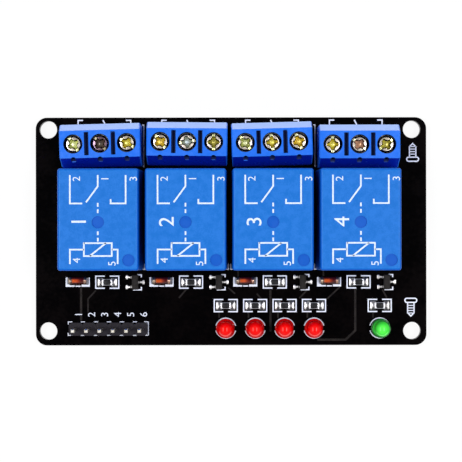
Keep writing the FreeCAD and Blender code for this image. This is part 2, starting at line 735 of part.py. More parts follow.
def make_transistors():
    """Moulded bodies with drafted faces, and three bent leads each."""
    body = new_body("transistor_form")
    middle = sketch_on(body, "XY_Plane", "transistor_height / 2")
    draw_centred_box(middle, "transistor_width", "transistor_length")
    for down in (False, True):
        half = body.newObject("PartDesign::Pad", f"transistor_half_{'lower' if down else 'upper'}")
        half.Profile = middle
        half.Reversed = down
        bind(half, Length="transistor_height / 2", TaperAngle="-transistor_draft")
    lead = new_body("transistor_lead_form")
    side = sketch_on(lead, "XZ_Plane")
    inner = "transistor_width / 2"
    outer = "transistor_span / 2"
    bend = f"({outer} - transistor_lead_foot)"
    mid = "(transistor_standoff + transistor_height / 2)"
    thick = "transistor_lead_thickness"
    draw_outline(
        side,
        [
            (inner, f"{mid} - {thick} / 2"),
            (f"{bend} - {thick}", f"{mid} - {thick} / 2"),
            (f"{bend} - {thick}", "0"),
            (outer, "0"),
            (outer, thick),
            (bend, thick),
            (bend, f"{mid} + {thick} / 2"),
            (inner, f"{mid} + {thick} / 2"),
        ],
    )
    pad(lead, side, "transistor_lead", middle=True)
    lead_copies = []
    for index, (x_side, y_side) in enumerate(TRANSISTOR_LEADS):
        y = f"{y_side} * transistor_lead_pitch / 2"
        yaw = "0" if x_side > 0 else "180"
        lead_copies.append(copy_of(lead, f"transistor_lead_{index}", y=y, yaw=yaw))
    lead_set = group("transistor_lead_set", lead_copies)
    z = "board_thickness + pad_thickness"
    y = row_y(UPPER_ROW)
    bodies = []
    leads = []
    for channel in CHANNELS:
        x = f"{channel_x(channel)} + transistor_offset"
        bodies.append(copy_of(body, f"transistor_{channel}", x=x, y=y, z=f"{z} + transistor_standoff"))
        leads.append(copy_of(lead_set, f"transistor_leads_{channel}", x=x, y=y, z=z))
    node(group("transistors", bodies), "transistors")
    node(group("transistor_leads", leads), "transistor_leads")


# Terminal blocks


def terminal_place(channel):
    """Where a terminal block stands."""
    return {
        "x": block_x(channel),
        "y": block_y(channel),
        "z": "board_thickness",
        "yaw": f"yaw_block_{channel}",
    }


def make_terminal_housings():
    """Moulded housings with three poles: a bay, a wire entry, a screw hole and a contact seat each."""
    body = new_body("terminal_form")
    side = sketch_on(body, "YZ_Plane")
    draw_outline(
        side,
        [
            ("-terminal_rear", "0"),
            ("terminal_front", "0"),
            ("terminal_front", "terminal_height - bevel_drop"),
            ("terminal_front - bevel_depth", "terminal_height"),
            ("rear_slope_depth - terminal_rear", "terminal_height"),
            ("-terminal_rear", "terminal_height - rear_slope_drop"),
        ],
    )
    block = pad(body, side, "terminal_length", middle=True)
    end = number("terminal_length / 2")
    body.Tip = bevel_edges(
        body,
        block,
        lambda middle, _: abs(abs(middle.x) - end) < CLOSE and middle.z > CLOSE,
        "terminal_edge",
    )
    first = pole_x(1)
    bay = sketch_on(body, "XY_Plane")
    draw_centred_box(bay, BAY_WIDTH, f"2 * {BAY_HALF_LENGTH}", first)
    cuts = [pocket(body, bay, BAY_TOP, up=True)]
    rear_seat = sketch_on(body, "XY_Plane")
    seat_half = "(bar_width / 2 + bar_play)"
    bay_rear = f"-{BAY_HALF_LENGTH}"
    draw_box(
        rear_seat,
        f"{first} - {seat_half}",
        f"{first} + {seat_half}",
        f"{bay_rear} - bar_seat - bar_play",
        bay_rear,
    )
    cuts.append(pocket(body, rear_seat, f"{BAR_TOP} + bar_play", up=True))
    entry_width = "cage_width - 2 * cage_side + 2 * bar_play"
    entry_middle = f"{BAR_BOTTOM} - wire_gap / 2"
    entry = sketch_on(body, "XZ_Plane")
    draw_centred_box(entry, entry_width, "wire_gap", first, entry_middle)
    cuts.append(pocket(body, entry, "terminal_front + bar_play"))
    mouth = sketch_on(body, "XZ_Plane", "entry_mouth - terminal_front")
    mouth_width = f"{entry_width} + 2 * entry_mouth"
    draw_centred_box(mouth, mouth_width, "wire_gap + 2 * entry_mouth", first, entry_middle)
    cuts.append(pocket(body, mouth, "entry_mouth + bar_play"))
    front_seat = sketch_on(body, "XZ_Plane")
    draw_box(
        front_seat,
        f"{first} - {seat_half}",
        f"{first} + {seat_half}",
        f"{BAR_BOTTOM} - bar_play",
        f"{BAR_TOP} + bar_play",
    )
    cuts.append(pocket(body, front_seat, f"{BAY_HALF_LENGTH} + bar_seat + bar_play"))
    bore = sketch_on(body, "XY_Plane", BAY_TOP)
    draw_circle(bore, "screw_hole", first)
    cuts.append(pocket(body, bore, "roof_thickness", up=True))
    notch = sketch_on(body, "XY_Plane", "terminal_height")
    draw_circle(notch, "rear_notch", first, "rear_slope_depth - terminal_rear - rear_notch_back")
    cuts.append(pocket(body, notch, "rear_notch_depth"))
    row_of(body, cuts, "X_Axis", len(POLES), "pole_pitch")
    slot = sketch_on(body, "XY_Plane", "terminal_height")
    draw_centred_box(slot, "divider_slot_width", "divider_slot_length", f"{first} + pole_pitch / 2")
    slot_cut = pocket(body, slot, "divider_slot_depth")
    row_of(body, [slot_cut], "X_Axis", len(POLES) - 1, "pole_pitch")
    for channel in CHANNELS:
        name = f"terminal_housing_{channel}"
        node(copy_of(body, name, **terminal_place(channel)), name)


def make_terminal_contacts():
    """Flat contact bars, each with a solder lead that goes down behind the cage."""
    body = new_body("contact_form")
    bar = sketch_on(body, "XY_Plane", BAR_BOTTOM)
    half_length = f"({BAY_HALF_LENGTH} + bar_seat)"
    draw_centred_box(bar, "bar_width", f"2 * {half_length}", pole_x(1))
    bar_pad = pad(body, bar, "bar_thickness")
    lead = sketch_on(body, "XY_Plane", "-board_thickness - lead_reach")
    draw_centred_box(lead, "terminal_lead", "bar_seat", pole_x(1), TERMINAL_LEAD_Y)
    lead_pad = pad(body, lead, f"{BAR_BOTTOM} + board_thickness + lead_reach")
    row_of(body, [bar_pad, lead_pad], "X_Axis", len(POLES), "pole_pitch")
    for channel in CHANNELS:
        name = f"terminal_contacts_{channel}"
        node(copy_of(body, name, **terminal_place(channel)), name)


def pole_place(channel, pole):
    """Where a pole of a turned terminal block lies."""
    yaw = f"yaw_block_{channel}"
    return {
        "x": f"{block_x(channel)} + ({pole_x(pole)}) * cos({yaw})",
        "y": f"{block_y(channel)} + ({pole_x(pole)}) * sin({yaw})",
        "z": "board_thickness",
    }


def make_wire_cages():
    """Folded metal cages that rise on their screw and grip the wire against the contact bar."""
    body = new_body("cage_form")
    ring = sketch_on(body, "XZ_Plane")
    outer_top = f"({CAGE_INNER_TOP} + cage_roof)"
    draw_box(ring, "-cage_width / 2", "cage_width / 2", "cage_rest", outer_top)
    inner = "(cage_width / 2 - cage_side)"
    draw_box(ring, f"-{inner}", inner, "cage_rest + cage_floor", CAGE_INNER_TOP)
    fold = pad(body, ring, "cage_length", middle=True)
    edge = number("cage_width / 2")
    body.Tip = round_edges(
        body,
        fold,
        lambda middle, direction: abs(abs(direction.y) - 1) < CLOSE and abs(middle.x) > edge - CLOSE,
        "cage_corner",
    )
    thread = sketch_on(body, "XY_Plane", CAGE_INNER_TOP)
    draw_circle(thread, "screw_shank + thread_play")
    pocket(body, thread, "cage_roof", up=True)
    for channel in CHANNELS:
        for pole in POLES:
            name = f"wire_cage_{channel}_{pole}"
            node(copy_of(body, name, yaw=f"yaw_block_{channel}", **pole_place(channel, pole)), name)


def make_clamp_screws():
    """Clamp screws with a round head that has a slot and a cross for the driver."""
    body = new_body("screw_form")
    profile = sketch_on(body, "XZ_Plane")
    shank = "screw_shank / 2"
    head = "screw_head / 2"
    top = f"({BAY_TOP} + screw_head_height)"
    draw_outline(
        profile,
        [
            ("0", SCREW_TIP),
            (f"{shank} - screw_edge", SCREW_TIP),
            (shank, f"{SCREW_TIP} + screw_edge"),
            (shank, BAY_TOP),
            (head, BAY_TOP),
            (head, f"{top} - screw_edge"),
            (f"{head} - screw_edge", top),
            ("0", top),
        ],
    )
    revolve(body, profile)
    slot = sketch_on(body, "XY_Plane", top)
    draw_centred_box(slot, "screw_head + screw_edge", "screw_recess_width")
    pocket(body, slot, "screw_slot_depth")
    along = sketch_on(body, "XY_Plane", top)
    draw_centred_box(along, "screw_cross_length", "screw_recess_width")
    pocket(body, along, "screw_cross_depth")
    across = sketch_on(body, "XY_Plane", top)
    draw_centred_box(across, "screw_recess_width", "screw_cross_length")
    pocket(body, across, "screw_cross_depth")
    for channel in CHANNELS:
        for pole in POLES:
            name = f"clamp_screw_{channel}_{pole}"
            turn = f"screw_turn_{channel}_{pole}"
            node(copy_of(body, name, yaw=turn, **pole_place(channel, pole)), name)


# Relays


def relay_place(channel):
    """Where a relay stands."""
    return {"x": channel_x(channel), "y": row_y(RELAY_LINE), "z": "board_thickness"}


def relay_group(form, name):
    """Stand one copy of a form in each relay and keep them as one sub-part."""
    copies = [copy_of(form, f"{name}_{channel}", **relay_place(channel)) for channel in CHANNELS]
    node(group(name, copies), name)


def make_relay_cases():
    """Moulded covers, open below, with drafted walls and two dimples in the top."""
    body = new_body("case_form")
    foot = sketch_on(body, "XY_Plane")
    draw_centred_box(foot, "relay_width + 2 * relay_foot_extra", "relay_length + 2 * relay_foot_extra")
    shell = pad(body, foot, "relay_height")
    bind(shell, TaperAngle="-atan(relay_foot_extra / relay_height)")
    body.Tip = round_edges(body, shell, lambda middle, _: middle.z > CLOSE, "relay_edge")
    inside = sketch_on(body, "XY_Plane")
    draw_centred_box(inside, "relay_width - 2 * relay_wall", "relay_length - 2 * relay_wall")
    pocket(body, inside, "relay_height - relay_roof", up=True)
    dimples = sketch_on(body, "XY_Plane", "relay_height")
    draw_circle(dimples, "dimple_width", "0", "gate_dimple_y")
    draw_circle(dimples, "dimple_width", "vent_dimple_x", "vent_dimple_y")
    pocket(body, dimples, "dimple_depth")
    for channel in CHANNELS:
        name = f"relay_case_{channel}"
        node(copy_of(body, name, **relay_place(channel)), name)


def make_relay_bases():
    """Moulded base plates that close the cases and carry the leads."""
    body = new_body("base_form")
    plate = sketch_on(body, "XY_Plane", "base_standoff")
    inside = "- 2 * relay_wall - 2 * base_play"
    draw_centred_box(plate, f"relay_width {inside}", f"relay_length {inside}")
    pad(body, plate, "base_thickness")
    holes = sketch_on(body, "XY_Plane", "base_standoff")
    for x, y in RELAY_LEADS.values():
        draw_circle(holes, "relay_lead + relay_lead_play", x, y)
    pocket(body, holes, "base_thickness", up=True)
    relay_group(body, "relay_bases")


def make_relay_terminals():
    """Round leads, with the fixed contact blades on the two that are switched."""
    body = new_body("relay_terminal_form")
    leads = sketch_on(body, "XY_Plane", "-board_thickness - lead_reach")
    for lead in ("common", "coil_left", "coil_right"):
        draw_circle(leads, "relay_lead", *RELAY_LEADS[lead])
    pad(body, leads, f"{BASE_TOP} + board_thickness + lead_reach")
    blade_start = "contact_line - blade_width / 2"
    closed_level = f"({CONTACT_TOP} + contact_gap + contact_height)"
    open_level = f"({CONTACT_BOTTOM} - contact_travel - contact_gap - contact_height - blade_thickness)"
    for lead, level in (("closed_contact", closed_level), ("open_contact", open_level)):
        x, y = RELAY_LEADS[lead]
        closed = lead == "closed_contact"
        post = sketch_on(body, "XY_Plane", "-board_thickness - lead_reach")
        draw_circle(post, "relay_lead", x, y)
        pad(body, post, f"{level} + blade_thickness + board_thickness + lead_reach")
        blade = sketch_on(body, "XY_Plane", level)
        x_low = f"{x} - relay_lead / 2" if closed else "-blade_width / 2"
        x_high = "blade_width / 2" if closed else f"{x} + relay_lead / 2"
        draw_box(blade, x_low, x_high, blade_start, f"{y} + relay_lead / 2")
        pad(body, blade, "blade_thickness")
        face = level if closed else f"{level} + blade_thickness"
        button = sketch_on(body, "XY_Plane", face)
        draw_circle(button, "fixed_contact_width", "0", "contact_line")
        pad(body, button, "contact_height", down=closed)
    relay_group(body, "relay_terminals")


def make_relay_yokes():
    """Bent iron yokes with the core set in the foot."""
    body = new_body("yoke_form")
    side = sketch_on(body, "YZ_Plane")
    rear = "(-yoke_line - yoke_thickness / 2)"
    leg_front = "(yoke_thickness / 2 - yoke_line)"
    leg_top = f"({ARMATURE_BOTTOM} - armature_rest_gap)"
    foot_end = "(coil_line + core_width / 2 + yoke_thickness)"
    draw_outline(
        side,
        [
            (rear, BASE_TOP),
            (foot_end, BASE_TOP),
            (foot_end, YOKE_FOOT_TOP),
            (leg_front, YOKE_FOOT_TOP),
            (leg_front, leg_top),
            (rear, leg_top),
        ],
    )
    pad(body, side, "yoke_width", middle=True)
    core = sketch_on(body, "XY_Plane", YOKE_FOOT_TOP)
    draw_circle(core, "core_width", "0", "coil_line")
    pad(body, core, f"{CORE_TOP} - {YOKE_FOOT_TOP}")
    relay_group(body, "relay_yokes")


def make_relay_bobbins():
    """Bobbins: a tube round the core with a flange at each end."""
    body = new_body("bobbin_form")
    tube = sketch_on(body, "XY_Plane", YOKE_FOOT_TOP)
    draw_circle(tube, "core_width + core_play + 2 * bobbin_wall", "0", "coil_line")
    pad(body, tube, "bobbin_height")
    lower = sketch_on(body, "XY_Plane", YOKE_FOOT_TOP)
    draw_centred_box(lower, "bobbin_width", "bobbin_width", "0", "coil_line")
    pad(body, lower, "bobbin_flange")
    upper = sketch_on(body, "XY_Plane", f"{YOKE_FOOT_TOP} + bobbin_height - bobbin_flange")
    draw_centred_box(upper, "bobbin_width", "bobbin_width", "0", "coil_line")
    upper_pad = pad(body, upper, "bobbin_flange")
    edge = number("bobbin_width / 2")
    body.Tip = round_edges(
        body,
        upper_pad,
        lambda middle, direction: abs(abs(direction.z) - 1) < CLOSE and abs(abs(middle.x) - edge) < CLOSE,
        "bobbin_corner",
    )
    bore = sketch_on(body, "XY_Plane", YOKE_FOOT_TOP)
    draw_circle(bore, "core_width + core_play", "0", "coil_line")
    pocket(body, bore, "bobbin_height", up=True)
    relay_group(body, "relay_bobbins")


def make_relay_windings():
    """Copper windings between the bobbin's flanges."""
    body = new_body("winding_form")
    ring = sketch_on(body, "XY_Plane", f"{YOKE_FOOT_TOP} + bobbin_flange")
    draw_circle(ring, "winding_width", "0", "coil_line")
    draw_circle(ring, "core_width + core_play + 2 * bobbin_wall", "0", "coil_line")
    pad(body, ring, "bobbin_height - 2 * bobbin_flange")
    relay_group(body, "relay_windings")


def make_relay_armatures():
    """Armatures: an iron plate on the yoke's edge, with a leaf that carries the moving contact."""
    body = new_body("armature_form")
    plate = sketch_on(body, "XY_Plane", ARMATURE_BOTTOM)
    plate_end = "(coil_line + armature_end)"
    draw_box(plate, "-yoke_width / 2", "yoke_width / 2", "-yoke_line - yoke_thickness / 2", plate_end)
    pad(body, plate, "armature_thickness")
    leaf = sketch_on(body, "XY_Plane", LEAF_BOTTOM)
    leaf_start = "(coil_line - armature_end)"
    draw_box(leaf, "-leaf_width / 2", "leaf_width / 2", leaf_start, "contact_line + contact_width / 2")
    pad(body, leaf, "leaf_thickness")
    button = sketch_on(body, "XY_Plane", CONTACT_BOTTOM)
    draw_circle(button, "contact_width", "0", "contact_line")
    pad(body, button, f"{CONTACT_TOP} - {CONTACT_BOTTOM}")
    for channel in CHANNELS:
        name = f"relay_armature_{channel}"
        node(copy_of(body, name, **relay_place(channel)), name)


# Header and lamps


def make_header():
    """A row of notched cells, and the square pins through them."""
    body = new_body("pin_header_housing")
    cell = sketch_on(body, "XY_Plane")
    half_x = "header_pitch / 2"
    half_y = "header_depth / 2"
    cut_x = "(header_pitch / 2 - header_corner)"
    cut_y = "(header_depth / 2 - header_corner)"
    draw_outline(
        cell,
        [
            (f"-{half_x}", f"-{cut_y}"),
            (f"-{cut_x}", f"-{half_y}"),
            (cut_x, f"-{half_y}"),
            (half_x, f"-{cut_y}"),
            (half_x, cut_y),
            (cut_x, half_y),
            (f"-{cut_x}", half_y),
            (f"-{half_x}", cut_y),
        ],
    )
    cell_pad = pad(body, cell, "header_height")
    row_of(body, [cell_pad], "X_Axis", len(HEADER_PINS), "header_pitch")
    hole = sketch_on(body, "XY_Plane")
    draw_centred_box(hole, "header_pin + 2 * header_pin_play", "header_pin + 2 * header_pin_play")
    hole_cut = pocket(body, hole, "header_height", up=True)
    row_of(body, [hole_cut], "X_Axis", len(HEADER_PINS), "header_pitch")
    place(body, x=header_pin_x(1), y=row_y("header_line"), z="board_thickness")
    node(body, "pin_header_housing")
    pin = new_body("header_pin_form")
    section = sketch_on(pin, "XY_Plane", "-board_thickness - lead_reach")
    draw_centred_box(section, "header_pin", "header_pin")
    shaft = pad(pin, section, "board_thickness + lead_reach + header_pin_top")
    top = number("header_pin_top")
    pin.Tip = bevel_edges(pin, shaft, lambda middle, _: abs(middle.z - top) < CLOSE, "header_pin_tip")
    pins = []
    for index in HEADER_PINS:
        name = f"header_pin_{index}"
        pins.append(copy_of(pin, name, x=header_pin_x(index), y=row_y("header_line"), z="board_thickness"))
    node(group("pin_header_pins", pins), "pin_header_pins")


def lean(obj, angle):
    """Lean an object about the Y axis of its own placement."""
    obj.setExpression("Placement.Rotation.Pitch", formula(angle))


def draw_lamp_profile(sketch, barrel, flange, foot, flange_top, dome_foot):
    """Half section of a lamp: flange, barrel and a quarter circle for the dome."""
    corners = [("0", foot), (flange, foot), (flange, flange_top), (barrel, flange_top), (barrel, dome_foot)]
    points = [FreeCAD.Vector(number(x), number(y), 0) for x, y in corners]
    for index in range(len(points) - 1):
        sketch.addGeometry(Part.LineSegment(points[index], points[index + 1]), False)
    radius = number(barrel)
    centre = FreeCAD.Vector(0, number(dome_foot), 0)
    quarter = Part.Circle(centre, FreeCAD.Vector(0, 0, 1), radius)
    arc = sketch.addGeometry(Part.ArcOfCircle(quarter, 0, math.pi / 2), False)
    apex = FreeCAD.Vector(0, number(dome_foot) + radius, 0)
    axis = sketch.addGeometry(Part.LineSegment(apex, points[0]), False)
    for index in range(len(points) - 2):
        sketch.addConstraint(Sketcher.Constraint("Coincident", index, 2, index + 1, 1))
    sketch.addConstraint(Sketcher.Constraint("Coincident", arc - 1, 2, arc, 1))
    sketch.addConstraint(Sketcher.Constraint("Coincident", arc, 2, axis, 1))
    sketch.addConstraint(Sketcher.Constraint("Coincident", axis, 2, 0, 1))
    for index, (x, y) in enumerate(corners[:-1]):
        fix_point(sketch, index, 1, x, y)
    fix_point(sketch, arc, 3, "0", dome_foot)
    sketch.addConstraint(Sketcher.Constraint("PointOnObject", arc, 2, -2))
    last = sketch.addConstraint(Sketcher.Constraint("DistanceX", -1, 1, arc, 1, radius))
    sketch.setExpression(f"Constraints[{last}]", formula(barrel))
    sketch.addConstraint(Sketcher.Constraint("Horizontal", arc, 3, arc, 1))


def make_lamps():
    """Round lamps with a domed barrel, a flange with a flat, and two square leads each."""
    body = new_body("lamp_form")
    profile = sketch_on(body, "XZ_Plane")
    barrel = "lamp_width / 2"
    flange = "lamp_flange / 2"
    foot = "(board_thickness + lamp_standoff)"
    flange_top = f"({foot} + lamp_flange_height)"
    dome_foot = f"({foot} + lamp_height - lamp_width / 2)"
    draw_lamp_profile(profile, barrel, flange, foot, flange_top, dome_foot)
    revolve(body, profile)
    flat = sketch_on(body, "XY_Plane", foot)
    draw_box(flat, "lamp_flat", "lamp_flange", "-lamp_flange", "lamp_flange")
    pocket(body, flat, "lamp_flange_height", up=True)
    lead = new_body("lamp_lead_form")
    section = sketch_on(lead, "XY_Plane", "-lead_reach")
    draw_centred_box(section, "lamp_lead", "lamp_lead", "-lamp_lead_pitch / 2")
    draw_centred_box(section, "lamp_lead", "lamp_lead", "lamp_lead_pitch / 2")
    pad(lead, section, f"lead_reach + {foot}")
    leads = []
    for lamp in RED_LAMPS:
        name = f"red_led_{lamp}"
        where = {"x": red_lamp_x(lamp), "y": row_y(LAMP_LINE)}
        node(copy_of(body, name, **where), name)
        leads.append(copy_of(lead, f"red_led_leads_{lamp}", **where))
    green = copy_of(body, "green_led", x=GREEN_LAMP_X, y=row_y(LAMP_LINE))
    green_leads = copy_of(lead, "green_led_leads", x=GREEN_LAMP_X, y=row_y(LAMP_LINE))
    lean(green, "green_lean")
    lean(green_leads, "green_lean")
    node(green, "green_led")
    node(group("led_leads", leads + [green_leads]), "led_leads")


# Build, check and write


def check_objects():
    """Stop if any object failed, or if a sub-part's shape is empty or not valid."""
    for obj in doc.Objects:
        if "Invalid" in obj.State or "Error" in obj.State:
            raise RuntimeError(f"{obj.Name} failed: {obj.State}")
    for obj in nodes:
        if obj.Shape.isNull() or not obj.Shape.isValid():
            raise RuntimeError(f"{obj.Label} has no valid shape")


def write_parts():
    """Write each sub-part to its own file."""
    os.makedirs("parts", exist_ok=True)
    for obj in nodes:
        obj.Shape.exportStep(os.path.join("parts", f"{obj.Label}.step"))
    print(len(nodes), "sub-parts written")


make_board()
make_pin_solder()
make_surface_solder()
make_resistors()
make_diodes()
make_transistors()
make_terminal_housings()
make_terminal_contacts()
make_wire_cages()
make_clamp_screws()
make_relay_cases()
make_relay_bases()
make_relay_terminals()
make_relay_yokes()
make_relay_bobbins()
make_relay_windings()
make_relay_armatures()
make_header()
make_lamps()
doc.recompute()
check_objects()
write_parts()
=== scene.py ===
"""Relay module board dressed with its finishes, its printed marks, solder and small parts.

Sizes are in millimetres and become metres when a form is made into a piece.
+X runs along the long side, +Y towards the screw terminals and +Z up.
"""

import logging
import math
from dataclasses import dataclass, field, replace
from enum import Enum
from functools import partial, reduce

import bmesh
import bpy
import numpy as np
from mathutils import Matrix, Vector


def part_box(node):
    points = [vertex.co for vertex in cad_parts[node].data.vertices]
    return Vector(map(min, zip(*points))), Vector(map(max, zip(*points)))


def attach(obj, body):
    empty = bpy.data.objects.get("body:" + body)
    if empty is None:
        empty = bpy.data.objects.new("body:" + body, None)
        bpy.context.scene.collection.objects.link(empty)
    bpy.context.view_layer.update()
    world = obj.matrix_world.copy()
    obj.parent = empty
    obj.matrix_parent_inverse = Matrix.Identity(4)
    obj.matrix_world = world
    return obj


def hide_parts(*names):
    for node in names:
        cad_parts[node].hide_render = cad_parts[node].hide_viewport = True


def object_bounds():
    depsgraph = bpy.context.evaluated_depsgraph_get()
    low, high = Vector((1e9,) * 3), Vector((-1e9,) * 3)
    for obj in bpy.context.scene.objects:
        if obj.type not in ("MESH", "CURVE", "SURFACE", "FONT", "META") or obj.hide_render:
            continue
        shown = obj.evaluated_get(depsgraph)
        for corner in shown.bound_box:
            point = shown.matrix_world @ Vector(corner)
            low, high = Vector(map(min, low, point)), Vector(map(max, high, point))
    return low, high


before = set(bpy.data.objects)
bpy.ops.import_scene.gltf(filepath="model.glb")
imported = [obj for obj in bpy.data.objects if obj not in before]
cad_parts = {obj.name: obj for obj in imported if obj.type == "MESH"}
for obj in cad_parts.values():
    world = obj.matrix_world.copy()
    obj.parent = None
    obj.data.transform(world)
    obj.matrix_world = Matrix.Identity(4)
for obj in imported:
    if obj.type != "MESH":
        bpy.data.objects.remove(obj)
CAD_BOX = [list(corner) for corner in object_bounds()]

MM = 0.001
ROOT = "board_assembly"
CHANNELS = (1, 2, 3, 4)
POLES = (1, 2, 3)
PIN_PITCH = 2.54
LATHE_STEPS = 28
WHITE = (1.0, 1.0, 1.0)
log = logging.getLogger("relay_module")

Triple = tuple[float, float, float]
Colour = Triple
Point = Triple
Pair = tuple[float, float]
Path = list[Pair]
Material = bpy.types.Material
Socket = bpy.types.NodeSocket


# Forms as whole arrays


def put(name: str, data: bpy.types.ID) -> bpy.types.Object:
    """Put a mesh, curve, camera or lamp into the scene.

    Args:
        name: name of the new object.
        data: what it shows.

    Returns:
        The object, at the origin.
    """
    obj = bpy.data.objects.new(name, data)
    bpy.context.scene.collection.objects.link(obj)
    return obj


@dataclass
class Form:
    """Closed surfaces that are gathered into one piece.

    Args:
        points: arrays of points, one for each surface added.
        faces: faces as lists of point numbers.
        tints: colours kept for the points, where a finish asks for them.
        count: number of points so far.
    """

    points: list[np.ndarray] = field(default_factory=list)
    faces: list[list[int]] = field(default_factory=list)
    tints: list[np.ndarray] = field(default_factory=list)
    count: int = 0

    def add(self, points: np.ndarray, faces: list[list[int]]) -> None:
        """Take in one more surface.

        Args:
            points: its points, one a row.
            faces: its faces, counted from its own first point.
        """
        self.points.append(points.reshape(-1, 3))
        self.faces.extend([[self.count + corner for corner in face] for face in faces])
        self.count += len(self.points[-1])

    def shade(self, colour: Colour | np.ndarray) -> None:
        """Keep a colour, or one a point, for the points added since the last call."""
        fresh = self.count - sum(len(part) for part in self.tints)
        self.tints.append(np.broadcast_to(np.asarray(colour, float), (fresh, 3)))

    def skin(self, rings: np.ndarray, closed: bool = False) -> None:
        """Join a row of rings into one closed surface.

        Point j of ring i is joined to point j + 1 of the same ring and to point j of ring i + 1.

        Args:
            rings: array of rings by points by three.
            closed: whether the last ring joins the first, instead of a flat cap at each end.
        """
        number, around = rings.shape[:2]
        index = np.arange(number * around).reshape(number, around)
        start = index if closed else index[:-1]
        end = np.roll(index, -1, axis=0) if closed else index[1:]
        quads = np.stack([start, np.roll(start, -1, 1), np.roll(end, -1, 1), end], axis=-1)
        faces = quads.reshape(-1, 4).tolist()
        if not closed:
            faces += [index[0][::-1].tolist(), index[-1].tolist()]
        self.add(rings, faces)

    def piece(self, name: str, material: Material, sharp: float = 35.0, body: str = ROOT) -> bpy.types.Object:
        """Make the form into a piece that rides on a body.

        Args:
            name: name of the piece.
            material: its finish.
            sharp: angle in degrees past which an edge stays crisp.
            body: the body that it rides on.

        Returns:
            The new object, at the origin.
        """
        same_place = 1e-8
        mesh = bpy.data.meshes.new(name)
        mesh.from_pydata((np.concatenate(self.points) * MM).tolist(), [], self.faces)
        if self.tints:
            rows = np.column_stack([np.concatenate(self.tints), np.ones(self.count)])
            mesh.color_attributes.new("tint", "FLOAT_COLOR", "POINT").data.foreach_set("color", rows.ravel())
        work = bmesh.new()
        work.from_mesh(mesh)
        bmesh.ops.remove_doubles(work, verts=work.verts, dist=same_place)
        bmesh.ops.recalc_face_normals(work, faces=work.faces)
        work.to_mesh(mesh)
        work.free()
        mesh.polygons.foreach_set("use_smooth", np.ones(len(mesh.polygons), bool))
        mesh.set_sharp_from_angle(angle=math.radians(sharp))
        mesh.materials.append(material)
        obj = put(name, mesh)
        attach(obj, body)
        log.info("%s: %d faces", name, len(mesh.polygons))
        return obj


def turned(points: np.ndarray, degrees: float, middle: Point) -> np.ndarray:
    """Turn points about the vertical and then move them.

    x' = x cos a - y sin a and y' = x sin a + y cos a, then the middle is added.

    Args:
        points: points about their own middle.
        degrees: the turn, counter-clockwise seen from above.
        middle: where their middle goes.

    Returns:
        The points in place.
    """
    angle = math.radians(degrees)
    cosine, sine = math.cos(angle), math.sin(angle)
    matrix = np.array([[cosine, -sine, 0.0], [sine, cosine, 0.0], [0.0, 0.0, 1.0]])
    return points @ matrix.T + np.array(middle)


def whole_turn(steps: int) -> np.ndarray:
    """Angles of a ring's points, spread evenly over the whole turn."""
    return np.linspace(0, 2 * math.pi, steps, endpoint=False)


def at_height(flat: np.ndarray, height: float) -> np.ndarray:
    """Points in X and Y brought to one height."""
    return np.column_stack([flat, np.full(len(flat), height)])


def rounded_outline(width: float, length: float, corner: float, steps: int = 5) -> np.ndarray:
    """Outline of a rectangle with round corners.

    Each corner is a quarter circle: its middle plus the corner radius times (cos t, sin t).

    Args:
        width: size along X.
        length: size along Y.
        corner: radius of the corners.
        steps: points in each quarter.

    Returns:
        Points by two, counter-clockwise.
    """
    quarter = np.linspace(0, math.pi / 2, steps)
    angles = np.concatenate([quarter + k * math.pi / 2 for k in range(4)])
    sign_x = np.repeat([1, -1, -1, 1], steps)
    sign_y = np.repeat([1, 1, -1, -1], steps)
    x = sign_x * (width / 2 - corner) + corner * np.cos(angles)
    y = sign_y * (length / 2 - corner) + corner * np.sin(angles)
    return np.stack([x, y], axis=-1)


def block(form: Form, size: Pair, corner: float, levels: Path, middle: Point, turn: float = 0.0) -> None:
    """Add a block whose outline shrinks by an inset at each level.

    Args:
        form: where it goes.
        size: outline along X and Y with no inset.
        corner: radius of its upright corners.
        levels: pairs of height and inset, from the foot up.
        middle: middle of its foot.
        turn: turn about the vertical in degrees.
    """
    least_corner = 0.01
    rings = []
    for height, inset in levels:
        flat = rounded_outline(size[0] - 2 * inset, size[1] - 2 * inset, max(corner - inset, least_corner))
        rings.append(at_height(flat, height))
    form.skin(turned(np.stack(rings), turn, middle))


def round_levels(low: float, high: float, radius: float, steps: int = 4) -> list[Pair]:
    """Levels of a block with rounded lower and upper edges.

    The inset is r (1 - cos t) while the height nears the end by r (1 - sin t), with t over a quarter turn.

    Args:
        low: height of the foot.
        high: height of the top.
        radius: radius of the rounding.
        steps: levels in each rounding.

    Returns:
        Pairs of height and inset.
    """
    angles = np.linspace(0, math.pi / 2, steps)
    rise = radius * (1 - np.cos(angles))
    inset = radius * (1 - np.sin(angles))
    lower = list(zip(low + rise, inset))
    upper = [(high - r, i) for r, i in zip(rise[::-1], inset[::-1])]
    return lower + upper


def lathe(form: Form, profile: np.ndarray | Path, middle: Point, along_x: bool = False) -> None:
    """Turn a profile about an axis.

    A point is radius cos t, radius sin t and its height along the axis, with t over the whole turn.

    Args:
        form: where it goes.
        profile: pairs of radius and height along the axis.
        middle: origin of the axis.
        along_x: whether the axis lies along X instead of Z.
    """
    radius, height = np.split(np.array(profile, float), 2, axis=1)
    angles = whole_turn(LATHE_STEPS)
    across, side = radius * np.cos(angles), radius * np.sin(angles)
    along = np.repeat(height, LATHE_STEPS, axis=1)
    axes = [along, across, side] if along_x else [across, side, along]
    form.skin(np.stack(axes, axis=-1) + np.array(middle))


